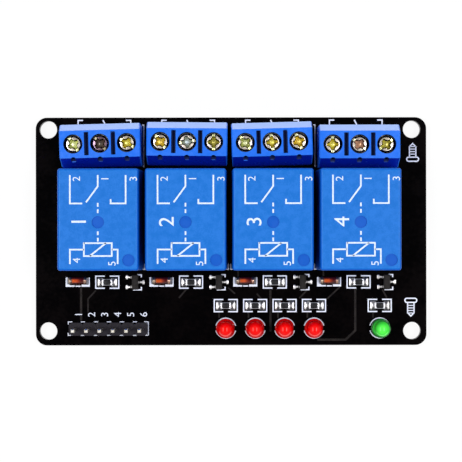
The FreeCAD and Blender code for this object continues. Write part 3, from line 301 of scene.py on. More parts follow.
def ribbon(
    form: Form, path: Path | np.ndarray, width: float, low: float, high: float, closed: bool = False
) -> None:
    """Add a flat band along a path, mitred at its corners.

    Each point moves out along the mean normal of its two runs, by half the width over the cosine of half the
    angle between them.

    Args:
        form: where it goes.
        path: its points in X and Y.
        width: width of the band.
        low: its lower height.
        high: its upper height.
        closed: whether the path closes.
    """
    no_length, least_cosine = 1e-12, 0.35
    points = np.asarray(path, float)
    runs = np.roll(points, -1, axis=0) - points
    runs /= np.linalg.norm(runs, axis=1, keepdims=True) + no_length
    before = np.roll(runs, 1, axis=0)
    if not closed:
        runs[-1] = runs[-2]
        before[0] = runs[0]
    normals = np.stack([-(runs + before)[:, 1], (runs + before)[:, 0]], axis=-1)
    normals /= np.linalg.norm(normals, axis=1, keepdims=True) + no_length
    straight = np.stack([-runs[:, 1], runs[:, 0]], axis=-1)
    cosine = (normals * straight).sum(axis=1, keepdims=True)
    shift = normals * ((width / 2) / np.maximum(cosine, least_cosine))
    section = [(points + shift, low), (points - shift, low), (points - shift, high), (points + shift, high)]
    form.skin(np.stack([at_height(*corner) for corner in section], axis=1), closed)


def plate(form: Form, outline: Path, low: float, high: float) -> None:
    """Add a flat plate with a given outline.

    Args:
        form: where it goes.
        outline: its corners in X and Y.
        low: its lower height.
        high: its upper height.
    """
    form.skin(np.stack([at_height(np.array(outline, float), z) for z in (low, high)]))


def arc(middle: Pair, radius: float, start: float, end: float, steps: int = 40) -> np.ndarray:
    """Points of a circle between two angles in degrees: the middle plus radius (cos t, sin t)."""
    angles = np.radians(np.linspace(start, end, steps))
    return np.stack([middle[0] + radius * np.cos(angles), middle[1] + radius * np.sin(angles)], axis=-1)


def numeral(form: Form, text: str, height: float, middle: Pair, low: float, high: float) -> None:
    """Add a plain number as a flat raised form that reads from the right of the board.

    Args:
        form: where it goes.
        text: the digits.
        height: height of a digit.
        middle: middle of the number in X and Y.
        low: its lower height.
        high: its upper height.
    """
    digit_share, half, turn = 0.7, 0.5, 90.0
    curve = bpy.data.curves.new("number", "FONT")
    curve.body = text
    curve.size = height / digit_share
    curve.extrude = half
    curve.align_x = "CENTER"
    curve.resolution_u = 3
    obj = put("number", curve)
    bpy.context.view_layer.update()
    mesh = bpy.data.meshes.new_from_object(obj.evaluated_get(bpy.context.evaluated_depsgraph_get()))
    flat = np.empty(len(mesh.vertices) * 3)
    mesh.vertices.foreach_get("co", flat)
    points = flat.reshape(-1, 3)
    points[:, 1] -= height / 2
    points[:, 2] = low + (points[:, 2] + half) * (high - low)
    form.add(turned(points, turn, (*middle, 0.0)), [list(face.vertices) for face in mesh.polygons])
    bpy.data.objects.remove(obj)
    bpy.data.meshes.remove(mesh)


# Node trees and shared effects


EFFECTS: dict[str, bpy.types.NodeTree] = {}


class Nodes:
    """Short hand for building a node tree."""

    def __init__(self, tree: bpy.types.NodeTree) -> None:
        """Start on a tree, emptied."""
        self.tree = tree
        self.tree.nodes.clear()

    def add(self, kind: str, inputs: dict | None = None, **settings) -> bpy.types.Node:
        """Add a node.

        Args:
            kind: its type without the ShaderNode prefix, or a full type name.
            inputs: socket or constant for each of its inputs, by name or number.
            settings: its own properties.

        Returns:
            The node.
        """
        node = self.tree.nodes.new(kind if kind.startswith("Node") else f"ShaderNode{kind}")
        for name, value in settings.items():
            setattr(node, name, value)
        for name, value in (inputs or {}).items():
            socket = node.inputs[name]
            if isinstance(value, Socket):
                self.tree.links.new(value, socket)
            else:
                socket.default_value = (*value, 1.0) if socket.type == "RGBA" else value
        return node

    def shared(self, name: str, inputs: dict | None = None) -> bpy.types.Node:
        """Place a shared effect in the tree with its own inputs."""
        return self.add("Group", inputs, node_tree=EFFECTS[name])

    def place(self) -> Socket:
        """Object coordinates of the shaded point, in metres."""
        return self.add("TexCoord").outputs["Object"]

    def parts(self, vector: Socket) -> list[Socket]:
        """X, Y and Z of a vector."""
        return list(self.add("SeparateXYZ", {0: vector}).outputs)

    def math(self, operation: str, *terms: Socket | float) -> Socket:
        """Result of a Math node, whose terms are sockets or numbers."""
        return self.add("Math", dict(enumerate(terms)), operation=operation).outputs[0]

    def product(self, *masks: Socket | float) -> Socket:
        """Masks and shares multiplied together."""
        return reduce(partial(self.math, "MULTIPLY"), masks)

    def distance(self, value: Socket, middle: float) -> Socket:
        """How far a value lies from a middle."""
        return self.math("ABSOLUTE", self.math("SUBTRACT", value, middle))

    def mix(self, mask: Socket | float, first: Socket | Colour, second: Socket | Colour) -> Socket:
        """Colour between two, by a mask from 0 to 1."""
        return self.add("Mix", {0: mask, 6: first, 7: second}, data_type="RGBA").outputs[2]

    def step(self, value: Socket, limits: Pair, unit: float = 1.0) -> Socket:
        """Soft mask from 0 where a value is at the first limit to 1 at the second, both in a unit."""
        inputs = {"Value": value, "From Min": limits[0] * unit, "From Max": limits[1] * unit}
        return self.add("MapRange", inputs, interpolation_type="SMOOTHSTEP").outputs["Result"]


def new_material(name: str) -> tuple[Material, Nodes]:
    """Start a material with an empty tree.

    Args:
        name: its name.

    Returns:
        The material and the builder of its tree.
    """
    material = bpy.data.materials.new(name)
    material.use_nodes = True
    return material, Nodes(material.node_tree)


def new_effect(name: str, inputs: dict[str, float | Colour], outputs: dict[str, str]) -> Nodes:
    """Start a shared effect as a node group.

    Args:
        name: its name.
        inputs: its inputs, each with its default.
        outputs: its outputs, each with its kind.

    Returns:
        The builder of its tree.
    """
    tree = bpy.data.node_groups.new(name, "ShaderNodeTree")
    for label, value in inputs.items():
        colour = isinstance(value, tuple)
        kind = "NodeSocketColor" if colour else "NodeSocketFloat"
        socket = tree.interface.new_socket(label, in_out="INPUT", socket_type=kind)
        socket.default_value = (*value, 1.0) if colour else value
    for label, kind in outputs.items():
        tree.interface.new_socket(label, in_out="OUTPUT", socket_type=f"NodeSocket{kind}")
    EFFECTS[name] = tree
    return Nodes(tree)


def mottle_effect() -> None:
    """Cloudy change of a colour: two noises added, and the colour moved towards a second by their mask."""
    finer, fine_share, limits = 6.0, 0.4, (0.38, 0.62)
    inputs = {"Colour": (0.5, 0.5, 0.5), "Second": (0.4, 0.4, 0.4), "Scale": 400.0, "Amount": 0.5}
    nodes = new_effect("mottle", inputs, {"Colour": "Color", "Mask": "Float"})
    given = nodes.add("NodeGroupInput").outputs
    place = nodes.place()
    broad = nodes.add("TexNoise", {"Vector": place, "Scale": given["Scale"], "Detail": 3.0}).outputs["Fac"]
    fine_scale = nodes.math("MULTIPLY", given["Scale"], finer)
    fine = nodes.add("TexNoise", {"Vector": place, "Scale": fine_scale, "Detail": 2.0}).outputs["Fac"]
    both = nodes.math("MULTIPLY_ADD", fine, fine_share, nodes.math("MULTIPLY", broad, 1 - fine_share))
    mask = nodes.math("MULTIPLY", nodes.step(both, limits), given["Amount"])
    colour = nodes.mix(mask, given["Colour"], given["Second"])
    nodes.add("NodeGroupOutput", {"Colour": colour, "Mask": mask})


def grain_effect() -> None:
    """Fine moulded or cast grain as a bumped normal."""
    nodes = new_effect("grain", {"Scale": 9000.0, "Depth": 0.1}, {"Normal": "Vector"})
    given = nodes.add("NodeGroupInput").outputs
    noise = nodes.add("TexNoise", {"Vector": nodes.place(), "Scale": given["Scale"], "Detail": 4.0})
    bump = nodes.add("Bump", {"Height": noise.outputs["Fac"], "Strength": given["Depth"], "Distance": 2e-5})
    nodes.add("NodeGroupOutput", {"Normal": bump.outputs["Normal"]})


def facing_effect() -> None:
    """How far a face points up, to the front and to the rear of the object, with its height in metres."""
    nodes = new_effect("facing", {}, dict.fromkeys(("Up", "Front", "Rear", "Height"), "Float"))
    _, front, up = nodes.parts(nodes.add("NewGeometry").outputs["True Normal"])
    height = nodes.parts(nodes.place())[2]
    outputs = {"Up": up, "Front": front, "Rear": nodes.math("MULTIPLY", front, -1.0), "Height": height}
    nodes.add("NodeGroupOutput", outputs)


# Finishes


@dataclass(frozen=True)
class Finish:
    """A surface with a cloudy colour and a fine grain.

    Args:
        name: name of the material.
        colour: its main colour.
        second: the colour that its clouds go towards.
        scale: clouds in a metre.
        amount: how far the clouds go, from 0 to 1.
        roughness: roughness of the surface.
        metallic: 1 for bare metal.
        specular: level of its clear reflection.
        grain: depth of the fine grain.
        cloud_roughness: how much rougher the clouds are.
    """

    name: str
    colour: Colour
    second: Colour
    scale: float = 400.0
    amount: float = 0.6
    roughness: float = 0.4
    metallic: float = 0.0
    specular: float = 0.5
    grain: float = 0.12
    cloud_roughness: float = 0.12

    def build(self) -> Material:
        """Make the material.

        Returns:
            The finished material.
        """
        material, nodes = new_material(self.name)
        clouds = {"Colour": self.colour, "Second": self.second, "Scale": self.scale, "Amount": self.amount}
        mottle = nodes.shared("mottle", clouds).outputs
        grain = nodes.shared("grain", {"Depth": self.grain}).outputs
        roughness = nodes.math("MULTIPLY_ADD", mottle["Mask"], self.cloud_roughness, self.roughness)
        inputs = {
            "Base Color": self.tint(nodes, mottle["Colour"]),
            "Normal": grain["Normal"],
            "Roughness": self.rough(nodes, roughness),
            "Metallic": self.metallic,
            "Specular IOR Level": self.specular,
        }
        shader = nodes.add("BsdfPrincipled", inputs | self.constants())
        nodes.add("OutputMaterial", {"Surface": shader.outputs[0]})
        return material

    def tint(self, nodes: Nodes, colour: Socket) -> Socket:
        """Change the colour further, which a plain finish doesn't.

        Args:
            nodes: builder of the material.
            colour: colour so far.

        Returns:
            The new colour.
        """
        return colour

    def rough(self, nodes: Nodes, roughness: Socket) -> Socket:
        """Change the roughness further, which a plain finish doesn't.

        Args:
            nodes: builder of the material.
            roughness: roughness so far.

        Returns:
            The new roughness.
        """
        return roughness

    def constants(self) -> dict[str, float | Triple]:
        """Further constants of the shader, of which a plain finish has none."""
        return {}


@dataclass(frozen=True)
class Laminate(Finish):
    """Black mask on the board's faces and bare glass laminate on its sawn edges and in its holes.

    Args:
        edge: colour of the laminate.
        layer: colour between its layers.
        flat: how far a face points up or down where the laminate ends and the mask begins.
    """

    edge: Colour = (0.028, 0.020, 0.012)
    layer: Colour = (0.012, 0.009, 0.007)
    flat: Pair = (0.4, 0.6)

    def tint(self, nodes: Nodes, colour: Socket) -> Socket:
        """Lay the laminate's layers where the face doesn't point up or down.

        Args:
            nodes: builder of the material.
            colour: colour so far.

        Returns:
            The new colour.
        """
        upright = nodes.math("ABSOLUTE", nodes.shared("facing").outputs["Up"])
        layers = nodes.add(
            "TexWave", {"Vector": nodes.place(), "Scale": 2400.0, "Distortion": 1.2}, bands_direction="Z"
        )
        edge = nodes.mix(layers.outputs["Fac"], self.edge, self.layer)
        return nodes.mix(nodes.step(upright, self.flat), edge, colour)


@dataclass(frozen=True)
class TerminalMoulding(Finish):
    """Glossy moulding with a rougher front bevel that carries a painted highlight, and painted shade on its
    rear slope and in its openings.

    The bevel, the slope, the walls and the floors are told apart by how far their faces point to the front,
    to the rear or up, each as the two limits of a soft step.

    Args:
        bevel: painted highlight colour of the front bevel.
        slope: painted shade colour of the rear slope.
        floor: painted shade colour on the walls and floors of the openings.
        top: height of the top face.
        below: how far below the top the painted shade of the openings begins, and is full.
        middle: middle of the block's screw row in X and Y.
        half_length: half of the block's length, less its end walls.
        reach: how far the openings go from the screw row to the rear and to the front.
        blur: width of the soft edges round the openings.
        dark: how strong the painted shade in the openings is, from 0 to 1.
        frost: how much rougher the bevel is.
        dull: how much rougher the openings are.
    """

    # Painted highlight on the bevel, painted shade on the rear slope and in the openings.
    bevel: Colour = (0.37, 0.52, 0.98)
    slope: Colour = (0.0012, 0.018, 0.44)
    floor: Colour = (0.0005, 0.006, 0.075)
    bevel_front: Pair = (0.7, 0.78)
    bevel_up: Pair = (0.35, 0.42)
    slope_rear: Pair = (0.85, 0.9)
    slope_up: Pair = (0.2, 0.3)
    wall_up: Pair = (0.1, 0.05)
    floor_up: Pair = (0.9, 0.95)
    top: float = 11.6
    below: Pair = (0.02, 0.15)
    middle: Pair = (0.0, 0.0)
    half_length: float = 7.3
    reach: Pair = (3.4, 2.2)
    blur: float = 0.1
    dark: float = 0.95
    frost: float = 0.3
    dull: float = 0.5

    def near(self, nodes: Nodes) -> Socket:
        """Mask of what lies within the block's end walls and between its rear slope and its bevel.

        Args:
            nodes: builder of the material.

        Returns:
            The mask.
        """
        x, y, _ = nodes.parts(nodes.place())
        off_y = nodes.math("SUBTRACT", y, self.middle[1] * MM)
        rear, front = self.reach
        along = nodes.step(
            nodes.distance(x, self.middle[0] * MM), (self.half_length, self.half_length - self.blur), MM
        )
        behind = nodes.step(off_y, (-rear, -rear + self.blur), MM)
        before = nodes.step(off_y, (front, front - self.blur), MM)
        return nodes.product(along, behind, before)

    def masks(self, nodes: Nodes) -> tuple[Socket, Socket, Socket]:
        """Masks of the front bevel, of the rear slope and of the walls and floors of the openings.

        Args:
            nodes: builder of the material.

        Returns:
            The three masks.
        """
        facing = nodes.shared("facing").outputs
        up = facing["Up"]
        front = nodes.product(nodes.step(facing["Front"], self.bevel_front), nodes.step(up, self.bevel_up))
        rear = nodes.product(nodes.step(facing["Rear"], self.slope_rear), nodes.step(up, self.slope_up))
        sunk = nodes.step(facing["Height"], (self.top - self.below[0], self.top - self.below[1]), MM)
        wall = nodes.step(nodes.math("ABSOLUTE", up), self.wall_up)
        floor = nodes.product(sunk, nodes.step(up, self.floor_up))
        return front, rear, nodes.product(self.near(nodes), nodes.math("MAXIMUM", wall, floor))

    def tint(self, nodes: Nodes, colour: Socket) -> Socket:
        """Paint a highlight on the bevel, and shade on the rear slope and in the openings.

        Args:
            nodes: builder of the material.
            colour: colour so far.

        Returns:
            The new colour.
        """
        front, rear, inside = self.masks(nodes)
        # Painted highlight on the front bevel and painted shade on the rear slope.
        sloped = nodes.mix(rear, nodes.mix(front, colour, self.bevel), self.slope)
        # Painted shade on the walls and floors of the openings.
        return nodes.mix(nodes.product(inside, self.dark), sloped, self.floor)

    def rough(self, nodes: Nodes, roughness: Socket) -> Socket:
        """Frost the bevel and take the gloss from the openings.

        Args:
            nodes: builder of the material.
            roughness: roughness so far.

        Returns:
            The new roughness.
        """
        front, _, inside = self.masks(nodes)
        frosted = nodes.math("MULTIPLY_ADD", front, self.frost, roughness)
        return nodes.math("MULTIPLY_ADD", inside, self.dull, frosted)


@dataclass(frozen=True)
class RelayMoulding(Finish):
    """Relay cover with painted shade in its two dimples and down its walls.

    Args:
        deep: colour of the painted shade below the top face.
        top: height of the top face.
        below: how far below the top the painted shade begins, and is full.
        share: how strong the painted shade is, from 0 to 1.
    """

    # Colour of the painted shade.
    deep: Colour = (0.0, 0.085, 0.50)
    top: float = 17.0
    below: Pair = (0.01, 0.1)
    share: float = 0.85

    def tint(self, nodes: Nodes, colour: Socket) -> Socket:
        """Paint shade below the top face.

        Args:
            nodes: builder of the material.
            colour: colour so far.

        Returns:
            The new colour.
        """
        height = nodes.shared("facing").outputs["Height"]
        sunk = nodes.step(height, (self.top - self.below[0], self.top - self.below[1]), MM)
        # Painted shade in the dimples and down the walls.
        return nodes.mix(nodes.product(sunk, self.share), colour, self.deep)


@dataclass(frozen=True)
class Plated(Finish):
    """Colour kept at each point of the piece: the passivation of plated metal, and on the screw heads and the
    diode glass also painted light and shade.
    """

    def tint(self, nodes: Nodes, colour: Socket) -> Socket:
        """Multiply the cloudy colour with the colour kept in the piece.

        Args:
            nodes: builder of the material.
            colour: colour so far.

        Returns:
            The new colour.
        """
        kept = nodes.add("Attribute", attribute_name="tint").outputs["Color"]
        inputs = {0: 1.0, 6: kept, 7: colour}
        return nodes.add("Mix", inputs, data_type="RGBA", blend_type="MULTIPLY").outputs[2]


@dataclass(frozen=True)
class Resin(Finish):
    """Tinted lamp resin with a brighter painted core, painted shade in the flange, two painted glints of the
    strip lamps and a painted reflection along the dome's lower edge.

    Args:
        middle: point on the lamp's axis, in metres.
        core: brighter colour painted near the axis.
        post: colour of the two painted glints of the strip lamps, and of the painted reflection along the
            dome's lower edge.
        lean: from the axis to the middle of the core.
        glow: how far from the middle the core's colour begins and is full.
        rim: how far from the middle the painted shade of the flange begins and is full.
        posts: from the middle to each painted glint, and half its width and length.
        soft_ends: share of the glints' half width and half length at which they are full.
        line: radius of the painted reflection along the dome's lower edge, half its width and where it is
            full.
        lower: place along Y from which the painted reflection shows, and where it is full.
        line_share: how strong the painted reflection is, from 0 to 1.
        subsurface: share of light that goes through the resin.
        depth: how deep the light goes.
    """

    middle: Point = (0.0, 0.0, 0.0)
    # Brighter painted core, and the colour of the painted glints and reflection.
    core: Colour = (1.0, 0.05, 0.03)
    post: Colour = (1.0, 0.11, 0.10)
    lean: Point = (0.0, 0.02, 0.0)
    glow: Pair = (1.3, 0.4)
    rim: Pair = (1.35, 1.6)
    posts: Triple = (0.35, 0.13, 0.43)
    soft_ends: Pair = (0.3, 0.6)
    line: Triple = (1.24, 0.15, 0.04)
    lower: Pair = (-0.3, -0.8)
    line_share: float = 0.7
    subsurface: float = 0.25
    depth: float = 0.8

    def pale(self, nodes: Nodes, flat: Socket, reach: Socket) -> Socket:
        """Mask of the two painted glints of the strip lamps and of the painted reflection along the dome's
        lower edge.

        Args:
            nodes: builder of the material.
            flat: place from the middle of the core, without its height.
            reach: its length.

        Returns:
            The mask.
        """
        x, y, _ = nodes.parts(flat)
        side, half, length = self.posts
        off = nodes.distance(nodes.math("ABSOLUTE", x), side * MM)
        along = nodes.step(nodes.math("ABSOLUTE", y), (length, self.soft_ends[1] * length), MM)
        # Painted glints of the two strip lamps.
        glint_bars = nodes.product(nodes.step(off, (half, self.soft_ends[0] * half), MM), along)
        radius, *limits = self.line
        circle = nodes.step(nodes.distance(reach, radius * MM), limits, MM)
        # Painted reflection along the dome's lower edge.
        line = nodes.product(circle, nodes.step(y, self.lower, MM), self.line_share)
        return nodes.math("MAXIMUM", glint_bars, line)

    def tint(self, nodes: Nodes, colour: Socket) -> Socket:
        """Paint a brighter core near the axis, shade in the flange with the second colour, and the glints and
        reflection.

        Args:
            nodes: builder of the material.
            colour: colour so far.

        Returns:
            The new colour.
        """
        shift = [value + lean * MM for value, lean in zip(self.middle, self.lean)]
        moved = nodes.add("VectorMath", {0: nodes.place(), 1: shift}, operation="SUBTRACT").outputs[0]
        flat = nodes.add("VectorMath", {0: moved, 1: (1.0, 1.0, 0.0)}, operation="MULTIPLY").outputs[0]
        reach = nodes.add("VectorMath", {0: flat}, operation="LENGTH").outputs["Value"]
        # Brighter painted core near the axis.
        inner = nodes.mix(nodes.step(reach, self.glow, MM), colour, self.core)
        # Painted shade in the flange.
        flange_shaded = nodes.mix(nodes.step(reach, self.rim, MM), inner, self.second)
        # Painted glints and painted reflection.
        return nodes.mix(self.pale(nodes, flat, reach), flange_shaded, self.post)

    def constants(self) -> dict[str, float | Triple]:
        """Let light into the resin.

        Returns:
            Constants by input name.
        """
        return {
            "Subsurface Weight": self.subsurface,
            "Subsurface Radius": (1.0, 0.2, 0.1),
            "Subsurface Scale": self.depth * MM,
        }


@dataclass(frozen=True)
class Glass(Plated):
    """Tinted glass of the diodes with a painted highlight along its axis and painted shade towards its
    flanks.

    Args:
        clear: share of light that goes through the glass.
        axis: place of the diodes' axes along Y.
        sides: how far from its axis the painted shade begins, and is full.
        flank: painted shade colour of its sides.
    """

    clear: float = 0.25
    axis: float = -9.82
    sides: Pair = (0.12, 0.5)
    # Colour of the painted shade on the flanks.
    flank: Colour = (0.05, 0.004, 0.002)

    def tint(self, nodes: Nodes, colour: Socket) -> Socket:
        """Paint shade on the glass away from its axis.

        Args:
            nodes: builder of the material.
            colour: colour so far.

        Returns:
            The new colour.
        """
        kept = super().tint(nodes, colour)
        off = nodes.distance(nodes.parts(nodes.place())[1], self.axis * MM)
        # Painted shade on the flanks, leaving a painted highlight along the axis.
        return nodes.mix(nodes.step(off, self.sides, MM), kept, self.flank)

    def constants(self) -> dict[str, float | Triple]:
        """Let light through the glass."""
        return {"Transmission Weight": self.clear, "IOR": 1.5}


# Where things stand


@dataclass(frozen=True)
class Layout:
    """Lines and offsets that several sub-assemblies share.

    Args:
        board_top: upper face of the board.
        upper_row: line of diodes, resistors and transistors.
        lower_row: line of the lamp resistors.
        diode_offset: diode from the middle of its channel.
        diode_rise: diode from the upper row.
        resistor_offset: resistor from the middle of its channel.
        transistor_offset: transistor from the middle of its channel.
        pad: thickness of a tinned pad.
        lamp_radius: radius of a lamp's flange.
        lamp_lead: lamp's lead from its axis.
        green_lamp: from the first red lamp to the green one.
    """

    board_top: float = 1.6
    upper_row: float = -10.12
    lower_row: float = -14.72
    diode_offset: float = -5.1
    diode_rise: float = 0.3
    resistor_offset: float = 0.65
    transistor_offset: float = 6.1
    pad: float = 0.06
    lamp_radius: float = 1.9
    lamp_lead: float = 1.27
    green_lamp: float = 30.04

    @staticmethod
    def middle(node: str) -> Pair:
        """Middle of a node of the frame in X and Y, in millimetres."""
        low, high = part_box(node)
        return ((low.x + high.x) / 2 / MM, (low.y + high.y) / 2 / MM)

    def channels(self) -> list[float]:
        """Middles of the four channels along X."""
        return [self.middle(f"relay_case_{channel}")[0] for channel in CHANNELS]

    def lamps(self) -> list[Pair]:
        """Middles of the five lamps where they meet the board, the green one last.

        Returns:
            Pairs of X and Y.
        """
        first, last = (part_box(f"red_led_{lamp}")[0].x / MM + self.lamp_radius for lamp in (1, 4))
        line = self.middle("red_led_1")[1]
        return [(x, line) for x in (*np.linspace(first, last, 4), first + self.green_lamp)]

    def resistors(self) -> list[Pair]:
        """Middles of the nine chip resistors."""
        upper = [(x + self.resistor_offset, self.upper_row) for x in self.channels()]
        return upper + [(x, self.lower_row) for x, _ in self.lamps()]

    def diodes(self) -> list[Pair]:
        """Middles of the four diodes."""
        return [(x + self.diode_offset, self.upper_row + self.diode_rise) for x in self.channels()]

    def transistors(self) -> list[Pair]:
        """Middles of the four transistors."""
        return [(x + self.transistor_offset, self.upper_row) for x in self.channels()]

    def header_pins(self) -> list[Pair]:
        """Middles of the six header pins."""
        x, y = self.middle("pin_header_pins")
        return [(x + (pin - 2.5) * PIN_PITCH, y) for pin in range(6)]


LAYOUT = Layout()


# Sub-assemblies


@dataclass
class BoardPrint:
    """White marks printed on the board's top.

    Args:
        line: width of a printed line.
        thickness: how far the ink stands up.
        sunk: how far it goes into the mask.
        frame_size: size of the brackets round a resistor.
        frame_gap: width of the gaps between them.
        lamp_ring: radius of the circle round a lamp.
        header_cell: pitch of the header's cells and length of one.
        gap_offset: line between two blocks from the middle of its channel.
    """

    line: float = 0.24
    thickness: float = 0.025
    sunk: float = 0.01
    frame_size: Pair = (4.48, 2.36)
    frame_gap: float = 0.95
    lamp_ring: float = 1.965
    header_cell: Pair = (PIN_PITCH, 2.62)
    gap_offset: float = 7.83
    form: Form = field(default_factory=Form)

    @property
    def levels(self) -> Pair:
        """Lower and upper height of the ink."""
        return LAYOUT.board_top - self.sunk, LAYOUT.board_top + self.thickness

    def stroke(self, place: Pair, path: Path | np.ndarray, width: float = 0.0, closed: bool = False) -> None:
        """Print a line.

        Args:
            place: where the path is measured from.
            path: its points in X and Y.
            width: its width, if not the usual one.
            closed: whether it closes.
        """
        points = np.array(place) + np.array(path)
        ribbon(self.form, points, width or self.line, *self.levels, closed)

    def resistor_frame(self, place: Pair) -> None:
        """Two brackets round a chip resistor, open in the middle of both long sides.

        Args:
            place: middle of the part in X and Y.
        """
        (x, y), inner = np.array(self.frame_size) / 2, self.frame_gap / 2
        for side in (-1, 1):
            self.stroke(place, [(side * inner, y), (side * x, y), (side * x, -y), (side * inner, -y)])

    def diode_frame(self, x: float, y: float) -> None:
        """A block at the banded end, a broken line below and an upright line at the other end.

        Args:
            x: middle of the diode along X.
            y: line of the upper row.
        """
        foot = -0.89
        boxes = (
            ((-2.36, foot), (-1.5, 0.94)),
            ((-1.5, foot), (-0.62, -0.6)),
            ((-0.46, foot), (0.54, -0.66)),
            ((0.72, foot), (2.34, -0.46)),
            ((2.12, -0.46), (2.34, 0.92)),
        )
        for (left, front), (right, back) in boxes:
            corners = [(left, front), (right, front), (right, back), (left, back)]
            plate(self.form, [(x + px, y + py) for px, py in corners], *self.levels)

    def transistor_marks(self, place: Pair) -> None:
        """Corner lines at the side with one lead."""
        self.stroke(place, [(0.42, 1.42), (1.2, 1.42), (1.2, 0.92)])
        self.stroke(place, [(-0.4, -1.5), (1.2, -1.5), (1.2, -0.92)])

    def lamp_circle(self, place: Pair) -> None:
        """A circle in two halves, open at the left and at the right.

        Args:
            place: middle of the part in X and Y.
        """
        gap, width = 14.0, 0.19
        for start in (gap, 180.0 + gap):
            self.stroke(place, arc((0.0, 0.0), self.lamp_ring, start, start + 180.0 - 2 * gap), width)

    def header_marks(self) -> None:
        """Outline of the header: corners, dashes between its cells, a whole right side and numbers."""
        thin, wide, dash, arm, turn_back = 0.18, 0.2, 0.42, 0.8, 0.5
        number, number_place = 1.4, (0.4, 2.75)
        middle = LAYOUT.middle("pin_header_housing")
        cell, half = self.header_cell[0], self.header_cell[1] / 2
        left, right = -3 * cell - 0.33, 3 * cell + 0.05
        for side in (-1, 1):
            level = side * half
            self.stroke(middle, [(left, level - side * turn_back), (left, level), (left + arm, level)], thin)
            self.stroke(middle, [(right - arm, level), (right, level)], thin)
            for notch in range(-2, 3):
                self.stroke(middle, [(notch * cell - dash, level), (notch * cell + dash, level)], wide)
        self.stroke(middle, [(right, -half), (right, half)], wide)
        for pin in range(6):
            place = (middle[0] + (pin - 2.5) * cell + number_place[0], middle[1] + number_place[1])
            numeral(self.form, str(pin + 1), number, place, *self.levels)

    def terminal_marks(self, x: float) -> None:
        """Contact signs in front of a block: a corner at each outer pole and a stroke at the middle one.

        Args:
            x: middle of the channel along X.
        """
        top, foot, reach, shift, outer = 21.46, 20.55, 0.95, 0.14, 5.14
        for side in (-1, 1):
            corner = shift + side * outer
            self.stroke((x, 0.0), [(corner - side * reach, top), (corner, top), (corner, foot)], 0.25)
        self.stroke((x, 0.0), [(-0.15, top + 0.05), (0.35, foot)], 0.28)

    def gap_line(self, x: float) -> None:
        """Thin line in the gap between two terminal blocks, with a short turn at its front end."""
        self.stroke((x, 0.0), [(0.0, 12.3), (0.0, 20.55), (-0.35, 20.55)], 0.16)

    def relay_corners(self, x: float) -> None:
        """Small corner marks at the foot of a relay.

        Args:
            x: middle of the channel along X.
        """
        edge, foot, arm, rise = 7.95, -7.62, 0.5, 1.1
        for side in (-1, 1):
            self.stroke((x + side * edge, foot), [(0.0, rise), (0.0, 0.0), (-side * arm, 0.0)], 0.2)

    def screw_sign(self, place: Pair, up: int) -> None:
        """Picture of a fixing screw: head, shank with dark thread lines and a pointed tip.

        Args:
            place: its middle.
            up: 1 where the tip points to the terminals, -1 where it points away.
        """
        head, corner, head_place = (2.32, 0.8), 0.39, -1.4
        half, foot, shoulder, tip = 0.615, -0.95, 1.05, 1.66
        threads, thread_width = (-0.41, 0.085, 0.58, 1.075), 0.17
        self.stroke(place, rounded_outline(*head, corner) + (0.0, up * head_place), closed=True)
        sides = [(-half, foot), (-half, shoulder), (0.0, tip), (half, shoulder), (half, foot)]
        self.stroke(place, [(x, up * y) for x, y in sides])
        for level in threads:
            self.stroke(place, [(-half, up * level), (half, up * level)], thread_width)

    def build(self) -> None:
        """Print all marks as one piece."""
        for x, transistor in zip(LAYOUT.channels(), LAYOUT.transistors()):
            self.diode_frame(x + LAYOUT.diode_offset, LAYOUT.upper_row)
            self.transistor_marks(transistor)
            self.terminal_marks(x)
            self.relay_corners(x)
        first, *_, last = LAYOUT.channels()
        self.gap_line(first + self.gap_offset)
        self.gap_line(last - self.gap_offset)
        for place in LAYOUT.resistors():
            self.resistor_frame(place)
        for place in LAYOUT.lamps():
            self.lamp_circle(place)
        self.header_marks()
        self.screw_sign((35.65, 15.2), 1)
        self.screw_sign((35.25, -15.14), -1)
        self.form.piece("board_print", PRINT_INK.build())


